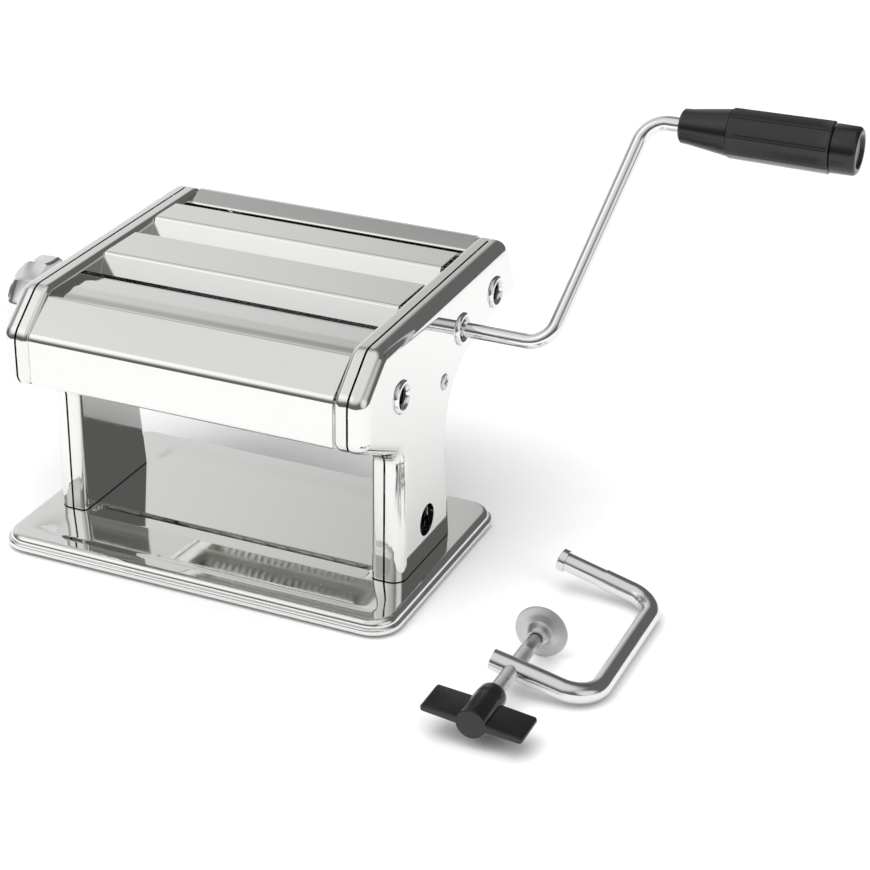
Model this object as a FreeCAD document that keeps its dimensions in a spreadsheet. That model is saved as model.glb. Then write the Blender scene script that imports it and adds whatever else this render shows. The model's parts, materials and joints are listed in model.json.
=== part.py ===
import FreeCAD, Part
import Sketcher
import math
import os
import re

# A hand cranked pasta machine: a steel tray on rubber pads, two hollow side frames, a pair of smooth
# sheet rollers with a thickness knob, two pairs of strip cutters, sheet metal covers and feed plates,
# a lift out crank with a turning grip, and the table clamp that lies beside it.
# The frame: the origin is the middle of the footprint on the table, X runs along the rollers with the
# crank at +X, the front is at -Y and Z is up. Every size is in millimetres.

doc = FreeCAD.newDocument("PastaMachine")
sizes = doc.addObject("Spreadsheet::Sheet", "Sizes")
V = FreeCAD.Vector
known_names = []
known_places = {}
sheets = []


def size(name, value, note):
    """Write one named size, a number or a formula of earlier names, on the next row."""
    row = len(known_names) + 1
    sizes.set("A%d" % row, name)
    sizes.set("B%d" % row, str(value))
    sizes.set("C%d" % row, note)
    sizes.setAlias("B%d" % row, name)
    known_names.append(name)


def named(text):
    """Point the size names in a formula at the Sizes sheet."""
    return re.sub(r"[a-z][a-z0-9_]*", lambda m: "Sizes." + m.group(0)
                  if m.group(0) in known_names else m.group(0), str(text))


def new_places(name):
    """Start a fresh sheet for the formulas of one piece."""
    known_places.clear()
    sheets.append(doc.addObject("Spreadsheet::Sheet", name + "Places"))


def place(text):
    """Give a formula its own cell in the piece's sheet; return that cell's name and its value."""
    text, sheet = str(text), sheets[-1]
    if text not in known_places:
        cell = "A%d" % (len(known_places) + 1)
        sheet.set(cell, "=" + named(text))
        sheet.recompute()
        known_places[text] = (sheet.Name + "." + cell, float(sheet.get(cell)))
    return known_places[text]


def value(text):
    return place(text)[1]


def bind(thing, prop, text):
    """Let a property follow a formula of the named sizes."""
    thing.setExpression(prop, named(text))


# Sizes of the frame and the tray
for row in (
        ("roller_span", 151.0, "between the two inner frames"),
        ("sheet", 1.2, "thickness of the frame and tray metal"),
        ("cover_sheet", 0.8, "thickness of the covers, guides and plates"),
        ("inner_depth", 6.5, "depth of an inner frame half"),
        ("seam", 1.0, "open joint between the two halves of a frame"),
        ("outer_depth", 8.0, "depth of an outer frame half"),
        ("web_round", 3.0, "rounding of the inner half"),
        ("face_round", 6.5, "rounding of the outer half"),
        ("tray_x", 102.2, "half length of the tray"),
        ("tray_y", 65.1, "half width of the tray"),
        ("tray_top", 8.0, "height of the tray's top face"),
        ("tray_corner", 14.0, "corner radius of the tray"),
        ("tray_round", 3.2, "rounding of the tray's top edge"),
        ("bead_height", 3.4, "height of the rolled bead round the tray"),
        ("bead_step", 1.5, "how far the bead stands out"),
        ("tray_skirt", 1.2, "how far the tray's wall is thicker than its sheet, for the bead"),
        ("pad_gap", 1.3, "how far the pads lift the tray"),
        ("pad_r", 9.0, "radius of a rubber pad"),
        ("pad_x", 85.0, "pads, from the middle along X"),
        ("pad_y", 47.0, "pads, from the middle along Y"),
        ("running", 0.05, "running clearance of a journal, on the radius"),
        ("brow_y", -46.0, "frame outline, top front corner"), ("brow_z", 131.5, "same"),
        ("brow_r", 9.0, "its radius"),
        ("nose_y", -66.0, "frame outline, front corner"), ("nose_z", 114.5, "same"),
        ("nose_r", 9.0, "its radius"),
        ("chin_y", -66.0, "frame outline, lower front corner"), ("chin_z", 91.0, "same"),
        ("chin_r", 7.0, "its radius"),
        ("throat_y", -28.0, "frame outline, where the leg begins"), ("throat_z", 73.0, "same"),
        ("throat_r", 8.0, "its radius"),
        ("toe_y", -28.0, "front of the foot"),
        ("heel_y", 31.5, "back of the foot"),
        ("waist_y", 25.0, "frame outline, back of the leg"), ("waist_z", 58.0, "same"),
        ("waist_r", 30.0, "its radius"),
        ("crook_y", 25.5, "frame outline, under the rear overhang"), ("crook_z", 87.0, "same"),
        ("crook_r", 31.0, "its radius"),
        ("tail_y", 112.0, "frame outline, lower rear corner"), ("tail_z", 103.5, "same"),
        ("tail_r", 7.0, "its radius"),
        ("crown_y", 95.0, "frame outline, top rear corner"), ("crown_z", 133.5, "same"),
        ("crown_r", 10.0, "its radius"),
        ("base_screw_r", 2.0, "radius of a base screw"),
        ("base_head", 2.2, "height of its head"),
        ("foot_plate", 3.0, "thickness of a foot plate"),
        ("post_r", 3.0, "radius of the posts between the halves of a frame"),
        ("rod_screw_depth", 12.0, "depth of the screw holes in the rods"),
        ("foot_inset", 0.7, "how much shorter a foot plate is than its leg"),
        ("foot_screw_y", 13.0, "base screws, from the ends of a leg"),
        ("tie_rod_r", 4.0, "radius of a tie rod"),
        ("rod_screw_r", 2.0, "radius of the tie rod screws"),
        ("screw_slack", 0.15, "radial room round a screw in its hole"),
        ("rod_head_r", 3.5, "radius of their heads"),
        ("rod_head", 2.0, "height of their heads"),
        ("web_x", "=roller_span / 2", "inner face of an inner frame half"),
        ("rim_x", "=web_x + inner_depth", "open edge of the inner half"),
        ("lip_x", "=rim_x + seam", "open edge of the outer half"),
        ("face_x", "=lip_x + outer_depth", "outer face of a frame")):
    size(*row)

# Sizes of the rollers, cutters, bearings and gears
for row in (
        ("end_play", 1.5, "from a roller's end to the inner frame"),
        ("barrel_x", "=web_x - end_play", "half length of every roller"),
        ("big_journal", 6.0, "radius of a crank side journal"),
        ("small_journal", 4.0, "radius of every other journal"),
        ("socket_r", 3.6, "radius of the crank socket"),
        ("socket_x", 61.5, "bottom of the crank socket"),
        ("journal_end", 88.5, "outer end of a crank side journal"),
        ("slot_w", 2.9, "width of the cross slot in a socket's mouth"),
        ("slot_depth", 4.0, "depth of the cross slot"),
        ("bush_wall", 1.5, "wall of a bearing bush"),
        ("bush_flange", 1.0, "thickness of its flange"),
        ("bush_rim", 3.0, "how far the flange reaches past the bore"),
        ("bush_tail", 2.2, "how far a bush reaches behind the frame's face"),
        ("gear_x", 78.2, "inner face of the gears"),
        ("gear_end", 85.5, "outer face of the gears"),
        ("stub_out", "=gear_end + 1", "right end of the driven cutters"),
        ("cam_out", "=gear_end + 1.5", "right end of the adjuster's eccentric length"),
        ("cam_step", 0.5, "how far that length starts inside the left frame"),
        ("front_discs", 11, "discs of the driven front cutter, one more than its mate's"),
        ("rear_discs", 37, "the same for the rear cutters"),
        ("stub_x", "=rim_x - 1.5", "left end of the plain journals"),
        ("sheet_y", 38.5, "fixed sheet roller"), ("sheet_z", 109.0, "same"),
        ("sheet_r", 12.8, "radius of both sheet rollers"),
        ("dial_y", 18.5, "axis of the thickness adjuster"), ("dial_z", 90.6, "same"),
        ("throw", 1.35, "eccentric throw of the adjuster"),
        ("throw_way", "=atan2(sheet_z - dial_z; sheet_y - dial_y) / 1 deg",
         "way from the adjuster to the roller"),
        ("moving_y", "=dial_y - throw * cos(throw_way)", "adjustable roller at its widest"),
        ("moving_z", "=dial_z - throw * sin(throw_way)", "same"),
        ("sheet_way", "=atan2(moving_z - sheet_z; moving_y - sheet_y) / 1 deg",
         "way from the fixed roller to the adjustable one"),
        ("cam_r", 4.5, "radius of the eccentric length"),
        ("sleeve_r", 6.0, "radius of the bearing sleeve on it"),
        ("dial_journal", 6.0, "radius of the adjuster's knob side journal"),
        ("dial_tip", 3.0, "radius of its crank side journal"),
        ("neck_r", 8.5, "radius of the adjustable roller's neck"),
        ("hub_r", 7.3, "radius of the neck inside the gear"),
        ("neck_hole", 10.6, "radius of the hole round the neck"),
        ("front_y", -28.5, "driven front cutter"), ("front_z", 103.2, "same"),
        ("front_gap", 22.6, "between the two front cutters"),
        ("front_way", 10.7, "way from one front cutter to the other, in degrees"),
        ("front_r", 12.0, "radius of the front discs"),
        ("front_core", 10.2, "radius between the front discs"),
        ("front_pitch", 13.0, "two strip widths of the front cutter"),
        ("rear_y", 78.2, "driven rear cutter"), ("rear_z", 112.4, "same"),
        ("rear_gap", 16.0, "between the two rear cutters"),
        ("rear_way", 0.0, "way from one rear cutter to the other, in degrees"),
        ("rear_r", 8.6, "radius of the rear discs"),
        ("rear_core", 7.0, "radius between the rear discs"),
        ("rear_pitch", 4.0, "two strip widths of the rear cutter"),
        ("shear", 0.1, "side clearance between neighbouring discs"),
        ("mate_front_y", "=front_y + front_gap * cos(front_way)", "second front cutter"),
        ("mate_front_z", "=front_z + front_gap * sin(front_way)", "same"),
        ("mate_rear_y", "=rear_y + rear_gap * cos(rear_way)", "second rear cutter"),
        ("mate_rear_z", "=rear_z + rear_gap * sin(rear_way)", "same"),
        ("front_teeth", 18, "teeth of a front gear"),
        ("rear_teeth", 16, "teeth of a rear gear"),
        ("sheet_teeth", 12, "teeth of a sheet roller gear"),
        ("front_tip", 12.4, "tip radius of the front gears"), ("front_root", 9.85, "root radius"),
        ("rear_tip", 8.95, "tip radius of the rear gears"), ("rear_root", 6.8, "root radius"),
        ("long_tip", 16.1, "tip radius of the fixed roller's gear"), ("long_root", 11.2, "root radius"),
        ("short_tip", 13.6, "tip radius of the adjustable roller's gear"), ("short_root", 8.9, "root"),
        ("tooth_w", 2.1, "width of a gear tooth at its root"),
        ("tooth_tip_w", 1.0, "its width at the tip"),
        ("fine_tooth_w", 1.7, "the same for the rear gears"),
        ("fine_tip_w", 0.8, "same"),
        ("mesh_bias", 2.0, "turn of its teeth that keeps them free over the travel, in degrees"),
        ("ring_r", 7.85, "radius of a crank hole ring"),
        ("ring_bore", 4.75, "radius of its bore"),
        ("ring_neck", 6.5, "radius of its neck in the cover"),
        ("ring_proud", 1.5, "how far a ring stands out"),
        ("end_head_r", 3.9, "radius of the adjuster's end screw"),
        ("end_head_out", 0.8, "how far its head stands out"),
        ("comb_reach", 0.35, "gap between a comb's fingers or a scraper and the roller's core"),
        ("comb_gap", 0.4, "gap between a comb's back and the discs"),
        ("comb_depth", 6.0, "how far a comb reaches past the discs"),
        ("comb_slack", 0.7, "how much narrower a finger is than its groove"),
        ("comb_front", 78, "way from a roller down to its comb, in degrees below level"),
        ("comb_front_mate", 102, "same"), ("comb_rear", 98, "same"), ("comb_rear_mate", 84, "same"),
        ("scraper_way", 82, "same for the sheet scrapers"), ("moving_scraper_way", 62, "same"),
        ("scraper_depth", 9.0, "how far a scraper reaches past its roller")):
    size(*row)

# Sizes of the adjuster's knob, the crank and its grip
for row in (
        ("knob_r", 23.5, "radius of the thickness knob's brim"),
        ("knob_neck_r", 16.3, "radius of its neck"),
        ("knob_brim", 16.0, "length of the brim"),
        ("knob_face_r", 18.5, "radius of its outer face"),
        ("knob_in", 94.6, "inner face of the knob"),
        ("knob_out", 132.5, "outer face of the knob"),
        ("knob_web", 9.0, "floor between the knob's inner face and its spring room"),
        ("knob_room", 9.0, "radius of the spring room"),
        ("knob_cap_depth", 3.0, "thickness of the knob's cap"),
        ("dial_r", 14.5, "radius of the index plate"),
        ("dial_depth", 3.0, "thickness of the index plate"),
        ("dial_ring", 11.2, "radius of the ring of index notches"),
        ("notch_r", 2.4, "radius of one notch"),
        ("notches", 9, "number of thickness settings"),
        ("knob_pin_r", 2.0, "radius of the index pin"),
        ("pull", 4.0, "how far the knob pulls out"),
        ("dial_join", 94.2, "where the shaft steps down inside the knob"),
        ("pin_tip", 92.4, "tip of the index pin"),
        ("pin_seat", 6.0, "how deep the pin sits in the knob"),
        ("pin_way", 90.0, "way from the axis to the index pin at rest, in degrees"),
        ("pin_y", "=dial_y + dial_ring * cos(pin_way)", "index pin"),
        ("pin_z", "=dial_z + dial_ring * sin(pin_way)", "same"),
        ("square_r", 5.0, "radius of the shaft inside the knob"),
        ("flat", 3.9, "from the axis to a flat on it"),
        ("shaft_out", 124.0, "outer end of the adjuster's shaft"),
        ("nut_r", 7.2, "radius of the retaining nut"),
        ("nut_depth", 3.0, "its thickness"),
        ("coil_r", 5.9, "radius of the spring, to the middle of the wire"),
        ("wire_r", 0.5, "radius of the spring wire"),
        ("coils", 6, "turns of the spring"),
        ("rod_r", 3.5, "radius of the crank rod"),
        ("crank_in", 62.0, "inner end of the crank"),
        ("crank_bend_x", 133.0, "where the crank turns up"),
        ("crank_way", 57.5, "direction of the crank's arm, in degrees"),
        ("crank_throw", 109.0, "from the roller's axis to the grip's axis"),
        ("crank_lean", 22.3, "how far the arm leans outward"),
        ("bend_r", 13.0, "bend radius of the crank"),
        ("grip_y", "=sheet_y + crank_throw * cos(crank_way)", "axis of the grip"),
        ("grip_z", "=sheet_z + crank_throw * sin(crank_way)", "same"),
        ("bare_end", 16.2, "bare rod between the crank's arm and the grip"),
        ("grip_neck", 24.0, "length over which the grip widens"),
        ("grip_length", 45.5, "its fluted length"),
        ("cap_length", 12.0, "length of its cap"),
        ("grip_in", "=crank_bend_x + crank_lean + bare_end", "inner end of the grip"),
        ("grip_swell", "=grip_in + grip_neck", "where the grip reaches its full girth"),
        ("grip_out", "=grip_swell + grip_length", "outer end of its fluted length"),
        ("cap_out", "=grip_out + cap_length", "outer end of its cap"),
        ("flutes", 16, "flutes round the grip"),
        ("flute_r", 2.6, "radius of a flute"),
        ("flute_way", 2.1, "how far a flute's middle lies outside the grip"),
        ("grip_small", 7.8, "radius of the grip's inner end"),
        ("grip_mid", 11.5, "radius where the flutes begin"),
        ("grip_large", 12.0, "radius where they end"),
        ("grip_cap_r", 11.1, "radius of the cap"),
        ("rod_pin_r", 1.25, "radius of the crank's cross pin"),
        ("rod_pin_reach", 4.5, "half length of the cross pin"),
        ("rod_pin_x", 86.4, "where the pin crosses the crank")):
    size(*row)

# Sizes of the table clamp
for row in (
        ("hole_y", 0.8, "clamp hole in the right frame"), ("hole_z", 28.0, "same"),
        ("hole_r", 7.75, "radius of the clamp hole"),
        ("hole_wall", 1.2, "wall of its turned in rim"),
        ("hole_lip", 3.0, "depth of that rim"),
        ("socket_wall_r", 7.5, "outer radius of the clamp socket"),
        ("clamp_bore", 5.5, "radius of the clamp socket"),
        ("clamp_socket_x", 85.0, "outer end of the clamp socket"),
        ("bar_r", 4.7, "radius of the clamp bar"),
        ("bar_x", 200.7, "the bar's back, on the table"),
        ("bar_tilt", 12.2, "lift of the clamp's plane, in degrees"),
        ("bar_far", 11.6, "rear corner of the bar"),
        ("bar_near", -76.8, "front corner of the bar"),
        ("pin_u", 49.5, "reach of the pin arm"), ("pin_v", 14.4, "its end along Y"),
        ("jaw_u", 45.6, "reach of the screw arm"), ("jaw_v", -77.4, "its end along Y"),
        ("bar_bend", 14.0, "bend radius of the bar"),
        ("neck_length", 22.7, "length of the turned down pin"),
        ("pin_r", 4.3, "radius of the turned down pin"),
        ("collar_r", 5.25, "radius of the collar on its end"),
        ("collar_w", 3.5, "width of the collar"),
        ("screw_u", 35.6, "clamp screw, from the bar's back"),
        ("pin_slope", "=atan2(bar_far - pin_v; pin_u) / 1 deg", "turn of the pin arm"),
        ("neck_start_u", "=pin_u - neck_length * cos(pin_slope)", "where the pin's neck begins"),
        ("neck_start_v", "=pin_v + neck_length * sin(pin_slope)", "same"),
        ("screw_r", 3.4, "radius of the clamp screw"),
        ("screw_lead", 1.25, "lead of its thread"),
        ("press_r", 12.2, "radius of the pressure pad"),
        ("press_y", -43.8, "face of the pressure pad"),
        ("ball_r", 4.2, "radius of the screw's ball end"),
        ("hub_in", -99.5, "inner end of the wing knob"),
        ("hub_out", -124.5, "outer end of the wing knob"),
        ("wing_hub_r", 7.6, "radius of its hub"),
        ("wing_span", 23.0, "reach of a wing"),
        ("wing_w", 17.8, "width of a wing along the screw"),
        ("wing_t", 3.8, "thickness of a wing"),
        ("wing_tilt", 5.4, "how far the wings are turned at rest, in degrees"),
        ("screw_x", "=bar_x - screw_u * cos(bar_tilt)", "clamp screw's axis"),
        ("screw_z", "=bar_r + screw_u * sin(bar_tilt)", "same")):
    size(*row)
doc.recompute()


nodes = {}


def keep(thing, label):
    """Name a finished piece; its label names its file."""
    thing.Label = label
    nodes[label] = thing
    return thing


def new_body(name):
    new_places(name)
    return doc.addObject("PartDesign::Body", name)


def origin_plane(body, role):
    return [o for o in body.Origin.OriginFeatures if o.Role == role][0]


def new_sketch(body, role, offset="0"):
    """Start a sketch on one of the body's own planes, moved along that plane's normal."""
    sketch = body.newObject("Sketcher::SketchObject", body.Name + "Sketch")
    sketch.AttachmentSupport = [(origin_plane(body, role), "")]
    sketch.MapMode = "FlatFace"
    bind(sketch, "AttachmentOffset.Base.z", offset)
    return sketch


def pin_point(sketch, index, end, across, up):
    """Tie one point of a sketch to two formulas."""
    for kind, text in (("DistanceX", across), ("DistanceY", up)):
        cell, number = place(text)
        if abs(number) < 1e-9 and str(text) == "0":
            axis = -2 if kind == "DistanceX" else -1
            sketch.addConstraint(Sketcher.Constraint("PointOnObject", index, end, axis))
        else:
            c = sketch.addConstraint(Sketcher.Constraint(kind, -1, 1, index, end, number))
            sketch.setExpression("Constraints[%d]" % c, cell)


def outline(sketch, points):
    """Draw a closed polygon through points given as formulas."""
    spots = [V(value(a), value(b), 0) for a, b in points]
    count = len(spots)
    for i in range(count):
        sketch.addGeometry(Part.LineSegment(spots[i], spots[(i + 1) % count]), False)
    for i in range(count):
        sketch.addConstraint(Sketcher.Constraint("Coincident", i, 2, (i + 1) % count, 1))
    for i, (across, up) in enumerate(points):
        pin_point(sketch, i, 1, across, up)
    return sketch


def circle(sketch, across, up, radius):
    """Add a circle whose middle and radius follow formulas."""
    cell, number = place(radius)
    index = sketch.addGeometry(Part.Circle(V(value(across), value(up), 0), V(0, 0, 1), number), False)
    pin_point(sketch, index, 3, across, up)
    c = sketch.addConstraint(Sketcher.Constraint("Radius", index, number))
    sketch.setExpression("Constraints[%d]" % c, cell)


def feature(body, kind, sketch, length=None, **settings):
    """Add a PartDesign feature made from a sketch."""
    item = body.newObject("PartDesign::" + kind, body.Name + kind)
    item.Profile = sketch
    for key, setting in settings.items():
        setattr(item, key, setting)
    if length is not None:
        bind(item, "Length", length)
    sketch.Visibility = False
    doc.recompute()
    return item


def put(thing, x="0", y="0", z="0", axis=None, angle="0"):
    """Place an object by formulas, turned about one axis."""
    thing.Placement = FreeCAD.Placement(V(value(x), value(y), value(z)),
                                        FreeCAD.Rotation(axis or V(0, 0, 1), value(angle)))
    for way, text in (("x", x), ("y", y), ("z", z)):
        bind(thing, "Placement.Base." + way, text)
    if axis is not None:
        bind(thing, "Placement.Rotation.Angle", angle)
    return thing


def turned(name, points, y="0", z="0", axis=None, angle="0", x="0"):
    """Turn a stepped profile, given as x and radius, about the X axis."""
    body = new_body(name)
    sketch = outline(new_sketch(body, "XY_Plane"), points)
    item = body.newObject("PartDesign::Revolution", name + "Revolution")
    item.Profile = sketch
    item.ReferenceAxis = (sketch, ["H_Axis"])
    item.Angle = 360
    doc.recompute()
    return put(body, x, y, z, axis, angle)


def tube(name, start, end, outer, inner="0", y="0", z="0"):
    """A plain ring or disc about an axis along X."""
    return turned(name, [(start, inner), (end, inner), (end, outer), (start, outer)], y, z)


def drill(name, radius, start, end, y="0", z="0"):
    """A cutting cylinder along X."""
    tool = doc.addObject("Part::Cylinder", name)
    tool.Placement = FreeCAD.Placement(V(0, 0, 0), FreeCAD.Rotation(V(0, 1, 0), 90))
    bind(tool, "Radius", radius)
    bind(tool, "Height", "(%s) - (%s)" % (end, start))
    bind(tool, "Placement.Base.x", start)
    bind(tool, "Placement.Base.y", y)
    bind(tool, "Placement.Base.z", z)
    return tool


def block(name, x0, x1, y0, y1, z0, z1):
    """A box between six formulas."""
    tool = doc.addObject("Part::Box", name)
    for prop, low, high in (("Length", x0, x1), ("Width", y0, y1), ("Height", z0, z1)):
        bind(tool, prop, "(%s) - (%s)" % (high, low))
    for way, low in (("x", x0), ("y", y0), ("z", z0)):
        bind(tool, "Placement.Base." + way, low)
    return tool


def fuse(name, parts):
    if len(parts) == 1:
        return parts[0]
    joined = doc.addObject("Part::MultiFuse", name)
    joined.Shapes = parts
    return joined


def cut(name, base, tools):
    result = doc.addObject("Part::Cut", name)
    result.Base = base
    result.Tool = fuse(name + "Tools", tools)
    return result


def group(name, parts):
    """Keep equal separate pieces together in one node."""
    bundle = doc.addObject("Part::Compound", name)
    bundle.Links = parts
    return bundle


def mirror(name, thing):
    """The same piece on the other side of the machine."""
    copy = doc.addObject("Part::Mirroring", name)
    copy.Source = thing
    copy.Normal = V(1, 0, 0)
    copy.Base = V(0, 0, 0)
    return copy


def edges_at(shape, test):
    return ["Edge%d" % (i + 1) for i, edge in enumerate(shape.Edges) if test(edge)]


def round_edges(body, test, radius, kind="Fillet"):
    """Round the edges of the body's last feature that pass a test."""
    last = body.Tip
    names = edges_at(last.Shape, test)
    if not names:
        raise RuntimeError("no edge to round on " + body.Name)
    item = body.newObject("PartDesign::" + kind, body.Name + kind)
    item.Base = (last, names)
    bind(item, "Radius" if kind == "Fillet" else "Size", radius)
    doc.recompute()
    return item


new_places("Frame")

# The side frames: each side has an inner and an outer half, pressed from sheet and open to each other
corners = ["brow", "nose", "chin", "throat", "toe", "heel", "waist", "crook", "tail", "crown"]
frame_points = []
for corner in corners:
    height = "tray_top" if corner in ("toe", "heel") else corner + "_z"
    frame_points.append((corner + "_y", height))


def pressed_half(name, start, depth, face, rounding):
    """One pressed half of a frame: a solid of the outline, rounded, then hollowed."""
    body = new_body(name)
    sketch = outline(new_sketch(body, "YZ_Plane", start), frame_points)
    feature(body, "Pad", sketch, depth)
    for corner in corners:
        if corner in ("toe", "heel"):
            continue
        y, z = value(corner + "_y"), value(corner + "_z")
        round_edges(body, lambda e: abs(e.Vertexes[0].Y - y) < 0.01 and abs(e.Vertexes[-1].Y - y) < 0.01
                    and abs(e.Vertexes[0].Z - z) < 0.01 and abs(e.Vertexes[-1].Z - z) < 0.01, corner + "_r")
    face_at, floor = value(face), value("tray_top")

    def on_face(edge):
        box = edge.BoundBox
        return (abs(box.XMin - face_at) < 0.01 and abs(box.XMax - face_at) < 0.01
                and not (abs(box.ZMin - floor) < 0.01 and abs(box.ZMax - floor) < 0.01))
    round_edges(body, on_face, rounding)
    open_at = value(start) + value(depth) if abs(face_at - value(start)) < 0.01 else value(start)
    open_faces = []
    for i, side in enumerate(body.Tip.Shape.Faces):
        box = side.BoundBox
        flat_x = box.XLength < 0.01 and abs(box.XMin - open_at) < 0.01
        flat_z = box.ZLength < 0.01 and abs(box.ZMin - floor) < 0.01
        if flat_x or flat_z:
            open_faces.append("Face%d" % (i + 1))
    last = body.Tip
    hollow = body.newObject("PartDesign::Thickness", name + "Hollow")
    hollow.Base = (last, open_faces)
    bind(hollow, "Value", "sheet")
    hollow.Reversed = 1
    hollow.Mode = 0
    hollow.Join = 0
    doc.recompute()
    return body


inner_blank = pressed_half("InnerHalf", "web_x", "inner_depth", "web_x", "web_round")
outer_blank = pressed_half("OuterHalf", "lip_x", "outer_depth", "face_x", "face_round")

# Where the shafts run: name, y, z, journal radius on the crank side, journal radius on the other
shafts = (("Front", "front_y", "front_z", "big_journal"),
          ("FrontMate", "mate_front_y", "mate_front_z", "small_journal"),
          ("Sheet", "sheet_y", "sheet_z", "big_journal"),
          ("Rear", "rear_y", "rear_z", "big_journal"),
          ("RearMate", "mate_rear_y", "mate_rear_z", "small_journal"))
web_cut = ("web_x - 2", "web_x + sheet + 2")
left_web_cut = ("-web_x - sheet - 2", "2 - web_x")

tools = [drill(n + "Hole", j + " + bush_wall", *web_cut, y=y, z=z) for n, y, z, j in shafts]
tools.append(drill("NeckHole", "neck_hole", *web_cut, y="dial_y", z="dial_z"))
tools.append(drill("PinHole", "clamp_bore", *web_cut, y="hole_y", z="hole_z"))
keep(cut("InnerRight", inner_blank, tools), "inner_frame_right")

tools = [drill(n + "HoleLeft", "small_journal + bush_wall", *left_web_cut, y=y, z=z)
         for n, y, z, j in shafts]
tools.append(drill("DialHole", "dial_journal + bush_wall", *left_web_cut, y="dial_y", z="dial_z"))
keep(cut("InnerLeft", mirror("InnerMirror", inner_blank), tools), "inner_frame_left")

tools = [drill(n + "Mouth", "ring_neck", "face_x - sheet - 1", "face_x + 1", y=y, z=z)
         for n, y, z, j in shafts if j == "big_journal"]
tools.append(drill("TipHole", "end_head_r + running", "face_x - sheet - 1", "face_x + 1",
                   y="dial_y", z="dial_z"))
tools.append(drill("ClampMouth", "hole_r", "face_x - sheet - 1", "face_x + 1", y="hole_y", z="hole_z"))
mouth_rim = tube("ClampRim", "face_x - hole_lip", "face_x - sheet / 2", "hole_r + hole_wall", "hole_r",
                 "hole_y", "hole_z")
keep(fuse("OuterRight", [cut("OuterRightCut", outer_blank, tools), mouth_rim]), "outer_cover_right")

tools = [drill("KnobHole", "dial_journal + running", "-face_x - 1", "1 - face_x + sheet",
               y="dial_y", z="dial_z")]
keep(cut("OuterLeft", mirror("OuterMirror", outer_blank), tools), "outer_cover_left")


# The tray: a rounded plate over a rolled bead, hollow underneath, on four rubber pads
tray = new_body("Tray")


def tray_pad(body, inset, low, high):
    """A rectangle round the middle, smaller than the tray by an inset, between two heights."""
    x, y = "tray_x - (%s)" % inset, "tray_y - (%s)" % inset
    sketch = outline(new_sketch(body, "XY_Plane", low),
                     [("-(%s)" % x, "-(%s)" % y), (x, "-(%s)" % y), (x, y), ("-(%s)" % x, y)])
    return sketch, "(%s) - (%s)" % (high, low)


def upright(inset):
    """A test for the corner edges of such a rectangle."""
    x, y = value("tray_x - (%s)" % inset), value("tray_y - (%s)" % inset)

    def test(edge):
        first, last = edge.Vertexes[0], edge.Vertexes[-1]
        return (abs(abs(first.X) - x) < 0.01 and abs(abs(first.Y) - y) < 0.01
                and abs(abs(last.X) - x) < 0.01 and abs(abs(last.Y) - y) < 0.01
                and abs(first.Z - last.Z) > 0.5)
    return test


def level(height, inset):
    """A test for the edges that run round the tray at one height."""
    z, x = value(height), value("tray_x - (%s)" % inset)
    y = value("tray_y - (%s)" % inset)

    def test(edge):
        box = edge.BoundBox
        far = max(abs(box.XMin), abs(box.XMax)) > x - 20 or max(abs(box.YMin), abs(box.YMax)) > y - 20
        return box.ZLength < 0.01 and abs(box.ZMin - z) < 0.01 and far
    return test


sketch, length = tray_pad(tray, "bead_step", "pad_gap", "tray_top")
feature(tray, "Pad", sketch, length)
round_edges(tray, upright("bead_step"), "tray_corner - bead_step")
round_edges(tray, level("tray_top", "bead_step"), "tray_round")
sketch, length = tray_pad(tray, "0", "pad_gap", "pad_gap + bead_height")
feature(tray, "Pad", sketch, length)
round_edges(tray, upright("0"), "tray_corner")


def bead_edge(edge):
    box = edge.BoundBox
    low = abs(box.ZMin - value("pad_gap")) < 0.01
    high = abs(box.ZMin - value("pad_gap + bead_height")) < 0.01
    out_x = max(abs(box.XMin), abs(box.XMax)) - value("tray_x")
    out_y = max(abs(box.YMin), abs(box.YMax)) - value("tray_y")
    return box.ZLength < 0.01 and (low or high) and max(out_x, out_y) > -0.01


round_edges(tray, bead_edge, "bead_height * 0.4")
hollow_body = new_body("TrayHollow")
hollow_inset = "bead_step + sheet + tray_skirt"
sketch, length = tray_pad(hollow_body, hollow_inset, "pad_gap - 1", "tray_top - sheet")
feature(hollow_body, "Pad", sketch, length)
round_edges(hollow_body, upright(hollow_inset), "tray_corner - bead_step - sheet - tray_skirt")
tray_holes = [hollow_body]
foot_x = "(web_x + sheet + face_x - face_round) / 2"
foot_screws = []
for side in ("", "-"):
    for y in ("toe_y + foot_screw_y", "heel_y - foot_screw_y"):
        x = side + foot_x
        foot_screws.append((x, y))


def upright_tool(name, radius, x, y, low, high):
    """A cylinder standing up."""
    tool = doc.addObject("Part::Cylinder", name)
    bind(tool, "Radius", radius)
    bind(tool, "Height", "(%s) - (%s)" % (high, low))
    for way, text in (("x", x), ("y", y), ("z", low)):
        bind(tool, "Placement.Base." + way, text)
    return tool


for i, (x, y) in enumerate(foot_screws):
    tray_holes.append(upright_tool("TrayHole%d" % i, "base_screw_r + screw_slack", x, y,
                                   "pad_gap", "tray_top + 1"))
keep(cut("TrayDrilled", tray, tray_holes), "base_tray")

pads = []
pad_spots = [(x, y) for y in ("pad_y", "-pad_y") for x in ("pad_x", "-pad_x")]
for i, (x, y) in enumerate(pad_spots):
    pads.append(turned("Pad%d" % i, [("0", "0"), ("0", "pad_r - 1"), ("1", "pad_r"),
                                     ("tray_top - sheet", "pad_r - 1.5"), ("tray_top - sheet", "0")],
                       x=x, y=y, axis=V(0, 1, 0), angle="-90"))
keep(group("Pads", pads), "base_pads")

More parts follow.
